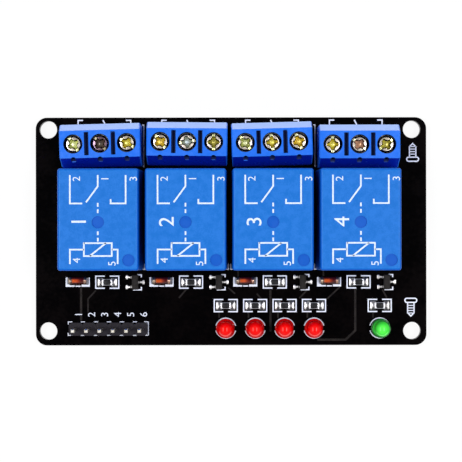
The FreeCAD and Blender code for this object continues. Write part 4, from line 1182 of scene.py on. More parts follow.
@dataclass
class BoardTracks:
    """Copper tracks under the mask, seen as slightly raised lines, on both faces.

    Args:
        height: how far a track stands out below the board, where it is twice as thick as on the top.
        sunk: how far it goes into the board.
        thin: width of a narrow track.
        wide: width of a supply track.
    """

    height: float = 0.03
    sunk: float = 0.01
    thin: float = 0.3
    wide: float = 0.42

    def build(self) -> None:
        """Lay the tracks of both faces."""
        material = TRACK_MASK.build()
        self.top().piece("top_tracks", material)
        self.underside().piece("underside_tracks", material)

    def top(self) -> Form:
        """Tracks that show between the parts on the top.

        Returns:
            The form of all of them.
        """
        form = Form()
        row = LAYOUT.lower_row
        paths = [
            (self.wide, [(-29.1, -11.12), (-29.1, -17.6)]),
            (self.thin, [(-26.2, -11.7), (-27.75, -13.4), (-27.75, -16.0)]),
            (self.thin, [(-8.6, -11.6), (-10.0, -13.2)]),
            (self.wide, [(7.85, -11.5), (7.85, -19.8)]),
            (self.wide, [(24.4, -11.5), (24.4, -19.6), (22.5, -21.4), (17.0, -21.4)]),
            (self.thin, [(21.4, -11.1), (18.95, -13.4)]),
            (self.thin, [(14.9, -11.8), (13.5, -13.3)]),
            (self.thin, [(5.2, -12.4), (6.05, -13.4)]),
            (self.thin, [(-0.4, -11.2), (0.95, -12.4)]),
            (self.thin, [(29.7, -11.6), (30.55, -13.2)]),
            (self.thin, [(1.55, -7.9), (1.55, -9.0)]),
            (self.thin, [(18.2, -7.9), (18.2, -9.0)]),
        ]
        paths += [(self.thin, [(x - 1.3, row - 1.3), (x - 1.3, row - 2.4)]) for x, _ in LAYOUT.lamps()]
        for width, path in paths:
            ribbon(form, path, width, LAYOUT.board_top - self.sunk, LAYOUT.board_top + self.height / 2)
        return form

    def underside(self) -> Form:
        """Tracks from the relays to the terminals and from the lamps to the header.

        Returns:
            The form of all of them.
        """
        form = Form()
        supply, lamp_lead = -21.2, LAYOUT.lamp_lead
        paths = []
        for x in LAYOUT.channels():
            for pole, lead in ((-5.08, -6.0), (0.0, 0.0), (5.08, 6.0)):
                end, width = (9.1, 2.4) if lead else (-5.0, 3.2)
                paths.append((width, [(x + pole, 13.2), (x + pole, 10.8), (x + lead, 9.8), (x + lead, end)]))
            for side in (-6.0, 6.0):
                paths.append((0.6, [(x + side, -3.1), (x + side, -8.0), (x + side * 0.6, -10.2)]))
        for x, y in LAYOUT.lamps():
            paths.append((0.5, [(x - lamp_lead, y), (x - lamp_lead, y + 3.6), (x - 3.2, y + 5.6)]))
            paths.append((0.5, [(x + lamp_lead, y), (x + lamp_lead, supply)]))
        paths.append((1.3, [(-17.3, -19.17), (-15.2, supply), (31.0, supply)]))
        for width, path in paths:
            ribbon(form, path, width, -self.height, self.sunk)
        return form


@dataclass
class Joints:
    """Solder on the top pads and round the leads below the board.

    Args:
        sheet: thickness of the thin tin on a pad.
        tin: shade of a fillet or a cone.
        chip_pad: length of a resistor's pad across the resistor.
        chip_reach: how far it goes beyond the resistor's end.
        lead_reach: how far the leads stand out below the board.
    """

    sheet: float = 0.05
    tin: Colour = (1.0, 0.97, 0.92)
    chip_pad: float = 1.68
    chip_reach: float = 0.875
    lead_reach: float = 1.0

    def meniscus(
        self,
        form: Form,
        widths: Triple,
        reaches: Pair,
        rise: float,
        place: Point,
        side: int,
        shade: float = 0.2,
    ) -> None:
        """Add a tinned pad with a fillet up to the part's end.

        With s going 0 to 1 from the part's end to the pad's and a soft step t squared (3 - 2 t), the fillet
        goes from the near width to the waist by a third of the way, and on to the far width between 0.4 and
        0.7. Its height along the middle is base + rise (1 - s) squared, and across it falls by the root of
        1 - q to the fourth, q going -1 to 1.

        Args:
            form: where it goes.
            widths: fillet's width at the part, at its waist and at the pad's end.
            reaches: pad under the part and beyond its end.
            rise: height of the fillet at the part's end.
            place: middle of the part's end on the board.
            side: 1 where the pad goes towards +X, -1 where it goes towards -X.
            shade: shade of the thin tin round the fillet. Without any, none is laid.
        """
        (near, waist, far), (under, reach) = widths, reaches
        base, margin, pad_corner = 0.1, 0.03, 0.12
        turn = 0.0 if side > 0 else 180.0
        if shade:
            levels = [(0.0, 0.0), (self.sheet, 0.0), (self.sheet + 0.02, 0.04)]
            middle = turned(np.array([[(reach - under) / 2, 0.0, 0.0]]), turn, place)[0]
            block(form, (under + reach, far), pad_corner, levels, tuple(middle), turn)
            form.shade((shade,) * 3)
        q = np.sin(np.linspace(-math.pi / 2, math.pi / 2, 15))[None, :]
        s = np.concatenate([[-under / reach], np.linspace(0, 1, 14), [1.0]])[:, None]
        narrowing, widening = (np.clip((s - low) / run, 0, 1) for low, run in ((0.0, 0.33), (0.4, 0.3)))
        narrowing, widening = (t * t * (3 - 2 * t) for t in (narrowing, widening))
        width = near + (waist - near) * narrowing + (far - 2 * margin - waist) * widening
        end = np.concatenate([np.ones(13), [0.9, 0.75, 0.3]])[:, None]
        y = q * width / 2 * (0.6 + 0.4 * end)
        x = np.repeat(s * (reach - margin), y.shape[1], axis=1)
        z = self.sheet + (base + rise * (1 - np.clip(s, 0, 1)) ** 2) * np.sqrt(np.clip(1 - q**4, 0, 1)) * end
        upper = np.stack([x, y, z], axis=-1)
        lower = upper.copy()
        lower[..., 2] = 0.01
        form.skin(turned(np.concatenate([upper, lower[:, ::-1]], axis=1), turn, place))
        form.shade(self.tin)

    def build(self) -> None:
        """Make the joints of both faces."""
        tin = SOLDER.build()
        piece = self.surface().piece("surface_joints", tin, 50)
        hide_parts("surface_solder")
        piece = self.underside().piece("underside_joints", tin, 50)
        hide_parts("pin_solder")

    def surface(self) -> Form:
        """Joints of resistors, diodes and transistors.

        Returns:
            The form of all the joints.
        """
        form = Form()
        z = LAYOUT.board_top
        chip = (1.1, 0.62, self.chip_pad), (0.2, self.chip_reach), 0.34
        diode = (1.1, 1.3, 1.3), (0.45, 0.28), 0.7
        leg = (0.12, 0.3, 0.95), (0.02, 1.05), 0.1
        for x, y in LAYOUT.resistors():
            for side in (1, -1):
                self.meniscus(form, *chip, (x + side * 1.0, y, z), side)
        for (x, y), (body_x, body_y) in zip(LAYOUT.diodes(), LAYOUT.transistors()):
            for side in (1, -1):
                self.meniscus(form, *diode, (x + side * 1.75, y, z), side)
            for side, row in ((-1, -1), (-1, 1), (1, 0)):
                self.meniscus(form, *leg, (body_x + side * 0.8, body_y + row * 0.97, z), side, 0.0)
        return form

    def underside(self) -> Form:
        """Cone-like joints round the leads below the board, each on its ring of copper.

        The radius is the lead's plus foot (1 - s) to the power of 2.2, s going 0 to 1 down the lead.

        Returns:
            The form of all the joints.
        """
        foot, ring_reach, ring_edge, inside, ring_sheet = 0.62, 0.78, 0.55, 0.01, 0.035
        form = Form()
        drop = np.linspace(0, 1, 9)
        for x, y, lead in self.lead_places():
            radius = lead / 2 + 0.03 + foot * (1 - drop) ** 2.2
            radius[-1] = lead / 2 + 0.02
            cone = np.stack([radius, inside - drop * (self.lead_reach - 0.16)], axis=-1)
            lathe(form, cone, (x, y, 0.0))
            outer, edge = lead / 2 + ring_reach, lead / 2 + ring_edge
            lathe(form, [(outer, inside), (outer, -ring_sheet), (edge, -ring_sheet)], (x, y, 0.0))
        form.shade(self.tin)
        return form

    @staticmethod
    def lead_places() -> list[Triple]:
        """Middle in X and Y and width of each lead that passes through the board.

        Returns:
            X, Y and width, each lead in turn.
        """
        relay_lead, terminal_lead, pin, lamp_lead, terminal_offset = 0.9, 1.2, 0.9, 0.75, 2.9
        places = []
        for channel, x in zip(CHANNELS, LAYOUT.channels()):
            y = LAYOUT.middle(f"relay_case_{channel}")[1]
            leads = ((0, -7.1), (-6, -5.1), (6, -5.1), (-6, 7.1), (6, 7.1))
            places += [(x + dx, y + dy, relay_lead) for dx, dy in leads]
            cages = [LAYOUT.middle(f"wire_cage_{channel}_{pole}") for pole in POLES]
            turn = math.atan2(cages[2][1] - cages[0][1], cages[2][0] - cages[0][0])
            dx, dy = terminal_offset * math.sin(turn), -terminal_offset * math.cos(turn)
            places += [(cage_x + dx, cage_y + dy, terminal_lead) for cage_x, cage_y in cages]
        places += [(x, y, pin) for x, y in LAYOUT.header_pins()]
        for x, y in LAYOUT.lamps():
            places += [(x + side * LAYOUT.lamp_lead, y, lamp_lead) for side in (-1, 1)]
        return places


@dataclass
class ChipResistors:
    """Ceramic chips with a glazed top and wrapped end caps.

    Args:
        length: over both caps.
        width: across the caps.
        height: to the top of the caps.
        cap: length of a cap.
        soft: radius of the rounded edges.
    """

    length: float = 2.0
    width: float = 1.25
    height: float = 0.5
    cap: float = 0.32
    soft: float = 0.07

    def build(self) -> None:
        """Make the chips and their caps."""
        chips, glaze, caps = Form(), Form(), Form()
        foot = LAYOUT.board_top + LAYOUT.pad
        chip_size = (self.length - 0.5 * self.cap, self.width - 0.04)
        chip_levels = round_levels(0.04, self.height - 0.05, 0.06)
        glaze_size = (self.length - 2 * self.cap + 0.14, self.width - 0.16)
        dome = [(self.height - 0.08, 0.0), (self.height - 0.01, 0.02), (self.height + 0.01, 0.08)]
        cap_levels = round_levels(0.0, self.height - 0.02, self.soft)
        for x, y in LAYOUT.resistors():
            block(chips, chip_size, 0.06, chip_levels, (x, y, foot))
            block(glaze, glaze_size, 0.34, dome, (x, y, foot))
            for side in (-1, 1):
                middle = (x + side * (self.length - self.cap) / 2, y, foot)
                block(caps, (self.cap, self.width), self.soft, cap_levels, middle)
        body = chips.piece("resistor_bodies", ALUMINA.build())
        film = glaze.piece("resistor_glaze", CHIP_GLAZE.build())
        ends = caps.piece("resistor_caps", BRIGHT_TIN.build())
        for piece in (body, film, ends):
            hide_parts("chip_resistors")


@dataclass
class GlassDiodes:
    """Glass tubes with a metal cap at each end, a band, the metal studs inside and painted light and shade
    along the glass.

    Args:
        length: over both caps.
        glass: radius of the glass.
        closed: radius of its ends, inside the caps.
        cap_radius: radius of the caps.
        cap: length of a cap.
        core: radius of the small hole left at every axis.
        banded_tone: shade of the banded cap and its stud.
        plain_tone: shade of the other cap and its stud.
        shade_places: places along the glass at which its painted light and shade are given.
        shades: its colours there, painted light towards the banded end and painted shade towards the other.
    """

    length: float = 3.5
    glass: float = 0.7
    closed: float = 0.62
    cap_radius: float = 0.75
    cap: float = 0.45
    core: float = 0.05
    banded_tone: Colour = (0.42, 0.38, 0.32)
    plain_tone: Colour = (0.5, 0.36, 0.3)
    # Painted light and shade along the glass.
    shade_places: tuple[float, ...] = (-1.15, -0.9, -0.1, 0.35, 0.8, 1.2)
    shades: tuple[Colour, ...] = (
        (0.45, 0.22, 0.12),
        (0.90, 0.14, 0.012),
        (0.85, 0.11, 0.02),
        (0.30, 0.03, 0.008),
        (0.10, 0.004, 0.002),
        (0.14, 0.02, 0.014),
    )

    @property
    def inner(self) -> float:
        """From the middle to the caps."""
        return self.length / 2 - self.cap

    def tube(self) -> tuple[np.ndarray, np.ndarray]:
        """Profile of the glass and the painted light and shade of its points.

        Returns:
            Pairs of radius and place along the axis, and a colour of painted light and shade for each point
            of each ring.
        """
        end = np.array([self.inner + 0.15, self.inner + 0.2])
        along = np.concatenate([-end[::-1], np.linspace(-self.inner, self.inner, 16), end])
        radius = [self.core, self.closed] + [self.glass] * 16 + [self.closed, self.core]
        shades = [np.interp(along, self.shade_places, column) for column in zip(*self.shades)]
        return np.column_stack([radius, along]), np.repeat(np.column_stack(shades), LATHE_STEPS, axis=0)

    def cap_and_stud(self, side: int) -> tuple[Path, Path]:
        """Profiles of the cap and of the stud at one end.

        Args:
            side: -1 for the banded end, 1 for the other.

        Returns:
            Both profiles.
        """
        start, end, soft = side * (self.inner - 0.02), side * self.length / 2, side * 0.1
        outer, core = self.cap_radius, self.core
        rim = [(outer - 0.02, start), (outer, start + soft), (outer, end - soft), (outer - 0.09, end)]
        stud = [(0.34, side * 0.22), (0.38, side * 0.3), (0.4, start)]
        return [(core, start), *rim, (core, end)], [(core, side * 0.22), *stud, (core, start)]

    def build(self) -> None:
        """Make glass, caps, studs and bands."""
        glass, caps, bands = Form(), Form(), Form()
        tube, shades = self.tube()
        foot, crest = self.glass - 0.01, self.glass + 0.012
        band = [(foot, 0.1), (crest, 0.12), (crest, 0.2), (foot, 0.22)]
        band = [(radius, place - self.inner) for radius, place in band]
        for x, y in LAYOUT.diodes():
            middle = (x, y, LAYOUT.board_top + LAYOUT.pad + self.cap_radius)
            lathe(glass, tube, middle, True)
            # Painted light and shade along the glass.
            glass.shade(shades)
            for side, tone in ((-1, self.banded_tone), (1, self.plain_tone)):
                for profile in self.cap_and_stud(side):
                    lathe(caps, profile, middle, True)
                caps.shade(tone)
            lathe(bands, band, middle, True)
        tubes = glass.piece("diode_glass", DIODE_GLASS.build(), 50)
        ends = caps.piece("diode_caps", DIODE_STUD.build(), 50)
        stripes = bands.piece("diode_bands", BAND_INK.build(), 50)
        for piece in (tubes, ends, stripes):
            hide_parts("glass_diodes")


@dataclass
class SmallTransistors:
    """Moulded three-lead bodies with a flank draft and bent leads.

    Args:
        size: of the body along X and Y.
        height: of the body.
        standoff: of the body over its feet.
        lead: width of a lead.
        sheet: thickness of a lead.
        bend: radius of its bends.
        reach: from the body's middle to the upright run and to the end of the foot.
        pitch: between the two leads of one side and the middle.
    """

    size: Pair = (1.3, 2.9)
    height: float = 0.95
    standoff: float = 0.1
    lead: float = 0.42
    sheet: float = 0.13
    bend: float = 0.14
    reach: Pair = (0.82, 1.2)
    pitch: float = 0.95

    def lead_path(self) -> np.ndarray:
        """Middle line of a lead from the body out and down to its foot.

        Two quarter circles join a level run, an upright run and the foot.

        Returns:
            Points as pairs of reach and height.
        """
        inside, bend = 0.55, self.bend
        mid = self.standoff + self.height / 2
        foot = self.sheet / 2
        out, end = self.reach
        first = arc((out - bend, mid - bend), bend, 90, 0, 6)
        second = arc((out + bend, foot + bend), bend, 180, 270, 6)
        return np.concatenate([[(inside, mid)], first, second, [(end, foot)]])

    def build(self) -> None:
        """Make bodies and leads."""
        bodies, leads, flat = Form(), Form(), Form()
        foot, height = LAYOUT.board_top + LAYOUT.pad, self.height
        levels = [(0.0, 0.1), (0.03, 0.07), (height / 2, 0.0), (height - 0.04, 0.09), (height, 0.13)]
        ribbon(flat, self.lead_path(), self.sheet, -self.lead / 2, self.lead / 2)
        upright = flat.points[0][:, [0, 2, 1]]
        for x, y in LAYOUT.transistors():
            block(bodies, self.size, 0.1, levels, (x, y, foot + self.standoff))
            for turn, row in ((180.0, -1), (180.0, 1), (0.0, 0)):
                leads.add(turned(upright, turn, (x, y + row * self.pitch, foot)), flat.faces)
        body = bodies.piece("transistor_bodies", TRANSISTOR_BLACK.build(), 25)
        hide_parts("transistors")
        lead = leads.piece("transistor_legs", DULL_TIN.build(), 40)
        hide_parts("transistor_leads")


class Zinc(Enum):
    """Colours of a screw: the passivation of its recess, a painted highlight at the middle of its recess and
    a painted highlight on the ends of its slot.
    """

    # Each row: recess passivation, painted highlight at the middle, painted highlight on the slot's ends.
    GOLD = ((0.34, 0.25, 0.015), (0.88, 0.80, 0.20), (1.0, 1.0, 0.66))
    GREEN = ((0.28, 0.30, 0.07), (0.80, 0.82, 0.52), (1.0, 1.0, 0.58))
    ORANGE = ((0.42, 0.26, 0.015), (0.90, 0.62, 0.14), (1.0, 0.95, 0.62))
    OLIVE = ((0.20, 0.17, 0.02), (0.48, 0.42, 0.12), (1.0, 1.0, 0.52))
    SILVER = ((0.20, 0.22, 0.17), (0.55, 0.62, 0.78), (1.0, 0.95, 0.68))
    BROWN = ((0.04, 0.025, 0.02), (0.12, 0.10, 0.09), (0.42, 0.36, 0.28))
    UMBER = ((0.26, 0.13, 0.09), (0.40, 0.21, 0.13), (0.95, 0.94, 0.70))


@dataclass
class ClampScrews:
    """Slotted cross-head screws with a rolled thread, each turned as it was left.

    Args:
        head: radius of the head.
        edge: radius of its rounded edge.
        head_height: from the head's underside to its top.
        crown: how far the head's top falls from its middle to 1 mm away.
        shank: radius of the thread's crest.
        pitch: of the thread.
        thread: depth of the thread.
        tip: how thin the thread is at its tip, and over what length it grows to its full size.
        depths: depth of the slot and of the cross.
        arm: half the width of the slot and of the cross.
        arm_blur: half the width of their soft edges.
        cross_reach: how far the cross goes from the middle.
        corners: how far u times v goes in the cross's rounded inner corners, and how far out they go.
        boss: height and radius of the small boss at the middle.
        bright: radius past which the rounded edge takes its painted reflection.
        rims: colour of the rim, and of a brown one.
        edge_tone: painted reflection of the dark blue hole walls on the rounded edge round the rim.
        around: points in a ring.
        left_at: angle of each slot in degrees.
        plating: colours of each screw.
    """

    head: float = 1.55
    edge: float = 0.22
    head_height: float = 1.2
    crown: float = 0.05
    shank: float = 1.25
    pitch: float = 0.5
    thread: float = 0.2
    tip: Pair = (0.72, 0.5)
    depths: Pair = (0.22, 0.75)
    arm: float = 0.34
    arm_blur: float = 0.09
    cross_reach: float = 1.06
    corners: Pair = (0.25, 0.94)
    boss: Pair = (0.06, 0.26)
    bright: float = 1.27
    rims: tuple[Colour, Colour] = ((0.56, 0.49, 0.45), (0.17, 0.11, 0.15))
    # Painted reflection of the hole walls on the rounded edge.
    edge_tone: Colour = (0.004, 0.008, 0.05)
    around: int = 120
    left_at: tuple[Triple, ...] = (
        (-55, -48, -31),
        (-52, 9, 90),
        (-50, -82, -68),
        (90, -39, 36),
    )
    plating: tuple[tuple[Zinc, Zinc, Zinc], ...] = (
        (Zinc.GREEN, Zinc.BROWN, Zinc.GOLD),
        (Zinc.ORANGE, Zinc.SILVER, Zinc.OLIVE),
        (Zinc.GREEN, Zinc.GOLD, Zinc.ORANGE),
        (Zinc.GOLD, Zinc.UMBER, Zinc.OLIVE),
    )

    @staticmethod
    def soft(distance: np.ndarray, blur: float = 0.07) -> np.ndarray:
        """Mask from 0 outside an edge to 1 inside it: 3 t squared - 2 t cubed over twice the blur."""
        t = np.clip((distance + blur) / (2 * blur), 0, 1)
        return t * t * (3 - 2 * t)

    @staticmethod
    def hill(distance: np.ndarray, reach: float) -> np.ndarray:
        """Mask that falls with the distance: e to the minus (distance / reach) squared."""
        return np.exp(-((distance / reach) ** 2))

    def recess(self, r: np.ndarray, u: np.ndarray, v: np.ndarray) -> list[np.ndarray]:
        """Slot and cross of the head.

        The slot is where v lies within the arm, and the cross where u or v lies within the arm or u times v
        stays small. The depth is the greater of the slot's and the cross's, less a small boss at the middle.

        Args:
            r: distance from the middle.
            u: distance along the slot.
            v: distance across it.

        Returns:
            Masks of the slot and of the cross, and the depth.
        """
        corner_blur, slope = 0.08, 0.1
        slot, other = (self.soft(self.arm - np.abs(off), self.arm_blur) for off in (v, u))
        arms = np.maximum(other, slot) * self.soft(self.cross_reach - r)
        corners = self.soft(self.corners[0] - np.abs(u * v), corner_blur) * self.soft(self.corners[1] - r)
        cross = np.maximum(arms, corners)
        depth = np.maximum(self.depths[0] * slot, (self.depths[1] + slope * (1 - r)) * cross)
        return [slot, cross, depth - self.boss[0] * self.hill(r, self.boss[1]) * cross]

    def tones(
        self, r: np.ndarray, slot: np.ndarray, cross: np.ndarray, tone: Zinc, rim: Colour
    ) -> np.ndarray:
        """Colours of the head: rim, painted reflection on its rounded edge, recess, painted highlights at its
        middle and on the slot's ends, and painted shade on its walls.

        Args:
            r: distance from the middle.
            slot: mask of the slot.
            cross: mask of the cross.
            tone: colours of the recess.
            rim: colour of the rim.

        Returns:
            A colour for each point.
        """
        slot_end, wall_from, middle_reach, wall_shade = 1.0, 0.9, 0.36, 0.85
        recess, middle, end = (np.array(colour) for colour in tone.value)
        # Painted shade along the walls of the slot and the cross.
        wall = 4 * slot * (1 - slot) * self.soft(r - wall_from) + 4 * cross * (1 - cross)
        # Painted reflection of the hole walls on the rounded edge.
        colour = np.where((r > self.bright)[..., None], np.array(self.edge_tone), np.array(rim))
        middle_highlight = cross * self.hill(r, middle_reach)
        # Painted highlights on the slot's ends and at the middle of the recess.
        for other, mask in ((end, slot * self.soft(r - slot_end)), (recess, cross), (middle, middle_highlight)):
            colour = colour + (other - colour) * mask[..., None]
        return colour * (1 - wall_shade * np.clip(wall, 0, 1))[..., None]

    def head_rings(self, turn: float, tone: Zinc, rim: Colour) -> tuple[np.ndarray, np.ndarray]:
        """Head from its edge to its middle.

        The height is minus crown r squared, less the greater of the edge's rounding and the recess's depth.

        Args:
            turn: angle of the slot in degrees.
            tone: colours of the recess.
            rim: colour of the rim.

        Returns:
            Rings of points about the middle of the head's top, and their colours.
        """
        inner = np.linspace(self.head - self.edge - 0.03, 0.02, 36)
        quarter = np.linspace(0, math.pi / 2, 6)
        rounding = self.head - self.edge + self.edge * np.cos(quarter)
        r = np.concatenate([rounding, inner])[:, None]
        drop = np.concatenate([self.edge * (1 - np.sin(quarter)), np.zeros(len(inner))])[:, None]
        angles = whole_turn(self.around)
        from_slot = angles - math.radians(turn)
        slot, cross, depth = self.recess(r, r * np.cos(from_slot), r * np.sin(from_slot))
        z = -self.crown * r**2 - np.maximum(drop, depth)
        points = np.stack([r * np.cos(angles), r * np.sin(angles), z], axis=-1)
        return points, self.tones(r, slot, cross, tone, rim)

    def shank_rings(self, length: float) -> np.ndarray:
        """Thread and flank of the head, from the tip upwards.

        The radius is the crest less the thread's depth times a triangle wave of z / pitch - angle / 2 pi.

        Args:
            length: from the tip to the head's top.

        Returns:
            Rings of points about the middle of the head's top.
        """
        seam, soft = 0.001, 0.08
        under = length - self.head_height
        angles = whole_turn(self.around)
        level = np.linspace(0, under, 44)[:, None]
        phase = (level / self.pitch - angles / (2 * math.pi)) % 1.0
        thin, run = self.tip
        tip = thin + (1 - thin) * np.clip(level / run, 0, 1)
        thread = (self.shank - self.thread * np.abs(2 * phase - 1)) * tip
        flank = np.array([self.shank - self.thread, self.head - soft, self.head, self.head])[:, None]
        steps = np.array([under + seam, under + seam, under + soft, length - self.edge - 0.06])[:, None]
        radius = np.concatenate([thread, np.repeat(flank, self.around, axis=1)])
        level = np.repeat(np.concatenate([level, steps]), self.around, axis=1)
        return np.stack([radius * np.cos(angles), radius * np.sin(angles), level - length], axis=-1)

    def build(self) -> None:
        """Make the twelve screws."""
        material = SCREW_ZINC.build()
        for channel in CHANNELS:
            for pole in POLES:
                self.screw(channel, pole, material)

    def screw(self, channel: int, pole: int, material: Material) -> None:
        """Make one screw.

        Args:
            channel: its terminal block.
            pole: its place in the block.
            material: its finish.
        """
        node = f"clamp_screw_{channel}_{pole}"
        low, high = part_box(node)
        tone = self.plating[channel - 1][pole - 1]
        rim = self.rims[tone is Zinc.BROWN]
        top, colours = self.head_rings(self.left_at[channel - 1][pole - 1], tone, rim)
        body = self.shank_rings((high.z - low.z) / MM)
        plain = np.broadcast_to(np.array(rim) * 0.5, body.shape)
        form = Form()
        form.skin(np.concatenate([body, top]) + np.array([*LAYOUT.middle(node), high.z / MM]))
        form.shade(np.concatenate([plain, colours]).reshape(-1, 3))
        piece = form.piece(f"screw_{channel}_{pole}", material, 60, node)
        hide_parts(node)


class LampTint(Enum):
    """Colours of a lamp: its dome, the painted shade of its flange, its brighter painted core and its painted
    glints.
    """

    # Each row: dome, painted shade of the flange, brighter painted core, painted glints.
    RED = ((0.75, 0.001, 0.001), (0.50, 0.001, 0.001), (0.95, 0.003, 0.002), (1.0, 0.11, 0.10))
    GREEN = ((0.05, 0.72, 0.05), (0.02, 0.16, 0.03), (0.11, 0.95, 0.09), (0.24, 1.0, 0.24))


@dataclass
class Lamps:
    """Four red lamps and a green one, of tinted resin.

    Args:
        barrel: radius of the barrel and of its dome.
        flange_height: height of the flange.
        flat: from the axis to the flat of the flange.
        foot: height of the flange's foot.
        height: from the flange's foot to the top of the dome.
        lean: lean of the green lamp towards the right, in degrees.
        around: points in a ring.
    """

    barrel: float = 1.5
    flange_height: float = 0.9
    flat: float = 1.65
    foot: float = 2.1
    height: float = 4.9
    lean: float = 3.5
    around: int = 72

    def rings(self) -> np.ndarray:
        """Rings of an upright lamp, from its foot to the top of its dome.

        A point is radius cos t, radius sin t and its height. In the flange x stays within the flat. In the
        dome the radius is r cos s and the height rises by r sin s, with s over a quarter turn.

        Returns:
            Rings of points about the place of the lamp on the board's underside.
        """
        radius, high, pole, soft = LAYOUT.lamp_radius, self.flange_height, 0.01, 0.03
        quarter = np.linspace(0, math.pi / 2 - pole, 24)
        dome = np.column_stack([self.barrel * np.cos(quarter), self.barrel * np.sin(quarter)])
        dome[:, 1] += self.height - self.barrel
        edge = [(radius - 0.06, 0), (radius, 0.06), (radius, high - 0.12), (radius - soft, high - soft)]
        neck = [(radius - 0.12, high), (self.barrel + 0.08, high), (self.barrel, high + 0.08)]
        radii, levels = np.split(np.concatenate([edge, neck, dome]), 2, axis=1)
        angles = whole_turn(self.around)
        x = np.minimum(radii * np.cos(angles), self.flat)
        z = np.repeat(levels + self.foot, self.around, axis=1)
        return np.stack([x, radii * np.sin(angles), z], axis=-1)

    def leaning(self, rings: np.ndarray) -> np.ndarray:
        """Rings leant towards +X: x' = x cos a + z sin a and z' = z cos a - x sin a.

        Args:
            rings: rings of an upright lamp.

        Returns:
            The rings in their new place.
        """
        angle = math.radians(self.lean)
        x, y, z = np.moveaxis(rings, -1, 0)
        turned_x = x * math.cos(angle) + z * math.sin(angle)
        return np.stack([turned_x, y, z * math.cos(angle) - x * math.sin(angle)], axis=-1)

    def build(self) -> None:
        """Make the five lamps."""
        nodes = ("red_led_1", "red_led_2", "red_led_3", "red_led_4", "green_led")
        for node, place in zip(nodes, LAYOUT.lamps()):
            green = node == "green_led"
            rings = self.leaning(self.rings()) if green else self.rings()
            colour, second, core, post = (LampTint.GREEN if green else LampTint.RED).value
            low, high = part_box(node)
            # The resin paints a brighter core, shade in the flange and the glints of the strip lamps.
            resin = Resin(
                f"{node}_resin", colour, second, 900.0, 0.1, 0.05, specular=0.12, grain=0.0,
                middle=tuple((low + high) / 2), core=core, post=post,
            )
            form = Form()
            form.skin(rings + np.array([*place, 0.0]))
            piece = form.piece(node.replace("led", "lamp"), resin.build(), 40)
            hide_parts(node)


@dataclass
class RelayPrint:
    """Plain contact diagram, lead numbers and channel number printed on each relay.

    Args:
        line: width of a line.
        film: how far the ink stands up.
        sunk: how far it goes into the case.
        small: height of the lead numbers.
        large: height of the channel number.
    """

    line: float = 0.3
    film: float = 0.006
    sunk: float = 0.01
    small: float = 1.4
    large: float = 2.8

    def build(self) -> None:
        """Print all four relays."""
        material = RELAY_INK.build()
        for channel in CHANNELS:
            form = Form()
            x, y = LAYOUT.middle(f"relay_case_{channel}")
            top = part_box(f"relay_case_{channel}")[1].z / MM
            low, high = top - self.sunk, top + self.film
            for path in self.diagram():
                ribbon(form, np.array(path) + np.array([x, y]), self.line, low, high)
            for text, size, place in self.numbers(channel):
                numeral(form, text, size, (x + place[0], y + place[1]), low, high)
            form.piece(f"relay_print_{channel}", material)

    @staticmethod
    def diagram() -> list[Path]:
        """Lines of the diagram: changeover contact above, coil below and the broken line between them.

        Returns:
            Paths from the middle of the relay.
        """
        contact = [
            [(0.0, 8.3), (0.0, 6.2), (-2.2, 3.2)],
            [(-5.2, 8.3), (-5.2, 3.0), (-2.9, 3.0)],
            [(5.2, 8.3), (5.2, 3.0), (2.4, 3.0), (2.4, 3.8)],
        ]
        coil = [
            [(-2.6, -4.4), (2.6, -4.4), (2.6, -6.8), (-2.6, -6.8), (-2.6, -4.25)],
            [(-1.5, -6.8), (1.5, -4.4)],
            [(-2.6, -5.6), (-5.2, -5.6), (-5.2, -8.3)],
            [(2.6, -5.6), (3.7, -5.6), (3.7, -8.3)],
        ]
        dash = 0.7
        link = [[(0.0, start), (0.0, start + dash)] for start in (-4.1, -2.9, 1.2, 2.4)]
        return contact + coil + link

    def numbers(self, channel: int) -> list[tuple[str, float, Pair]]:
        """Text, height and place of each number.

        Args:
            channel: number of the relay.

        Returns:
            Rows of text, height and place from the middle of the relay.
        """
        places = ((1.3, 7.6), (-4.0, 7.6), (6.6, 7.6), (-4.0, -7.6), (2.6, -8.2))
        leads = [(str(lead), self.small, place) for lead, place in enumerate(places, 1)]
        return leads + [(str(channel), self.large, (-3.6, -0.4))]


# Finish of each material: its colour, second colour, clouds in a metre, their amount, roughness and metal


RELAY_INK = Finish("relay_ink", (0.72, 0.80, 0.92), (0.5, 0.62, 0.85), 2600.0, 0.7, 0.5, grain=0.2)
SCREW_ZINC = Plated("screw_zinc", WHITE, (0.70, 0.74, 0.62), 1100.0, 0.9, 0.26, 1.0, grain=0.15)
PRINT_INK = Finish("print_ink", (0.84, 0.88, 1.0), (0.70, 0.74, 0.90), 2500.0, 0.6, 0.6, grain=0.25)
BAND_INK = Finish("band_ink", (0.02, 0.012, 0.012), (0.05, 0.02, 0.015), 3000.0, 0.5, 0.35)
TRACK_MASK = Finish(
    "track_mask", (0.014, 0.012, 0.012), (0.028, 0.023, 0.022), 500.0, 0.6, 0.25, specular=0.05
)
SOLDER = Plated("solder_joint", (0.56, 0.56, 0.58), (0.38, 0.38, 0.41), 2600.0, 0.8, 0.32, 1.0, grain=0.2)
BRIGHT_TIN = Finish("bright_tin", (0.74, 0.74, 0.78), (0.44, 0.44, 0.48), 2600.0, 0.7, 0.26, 1.0, grain=0.2)
DULL_TIN = Finish("dull_tin", (0.20, 0.19, 0.19), (0.10, 0.10, 0.10), 2600.0, 0.7, 0.34, 1.0, grain=0.2)
CHIP_GLAZE = Finish("chip_glaze", (0.012, 0.012, 0.013), (0.03, 0.03, 0.032), 1800.0, 0.6, 0.3, specular=0.1)
ALUMINA = Finish("alumina", (0.42, 0.43, 0.46), (0.3, 0.3, 0.33), 2600.0, 0.6, 0.5, specular=0.3)
DIODE_GLASS = Glass("diode_glass_tint", WHITE, (0.75, 0.6, 0.55), 1500.0, 0.6, 0.08, specular=0.4)
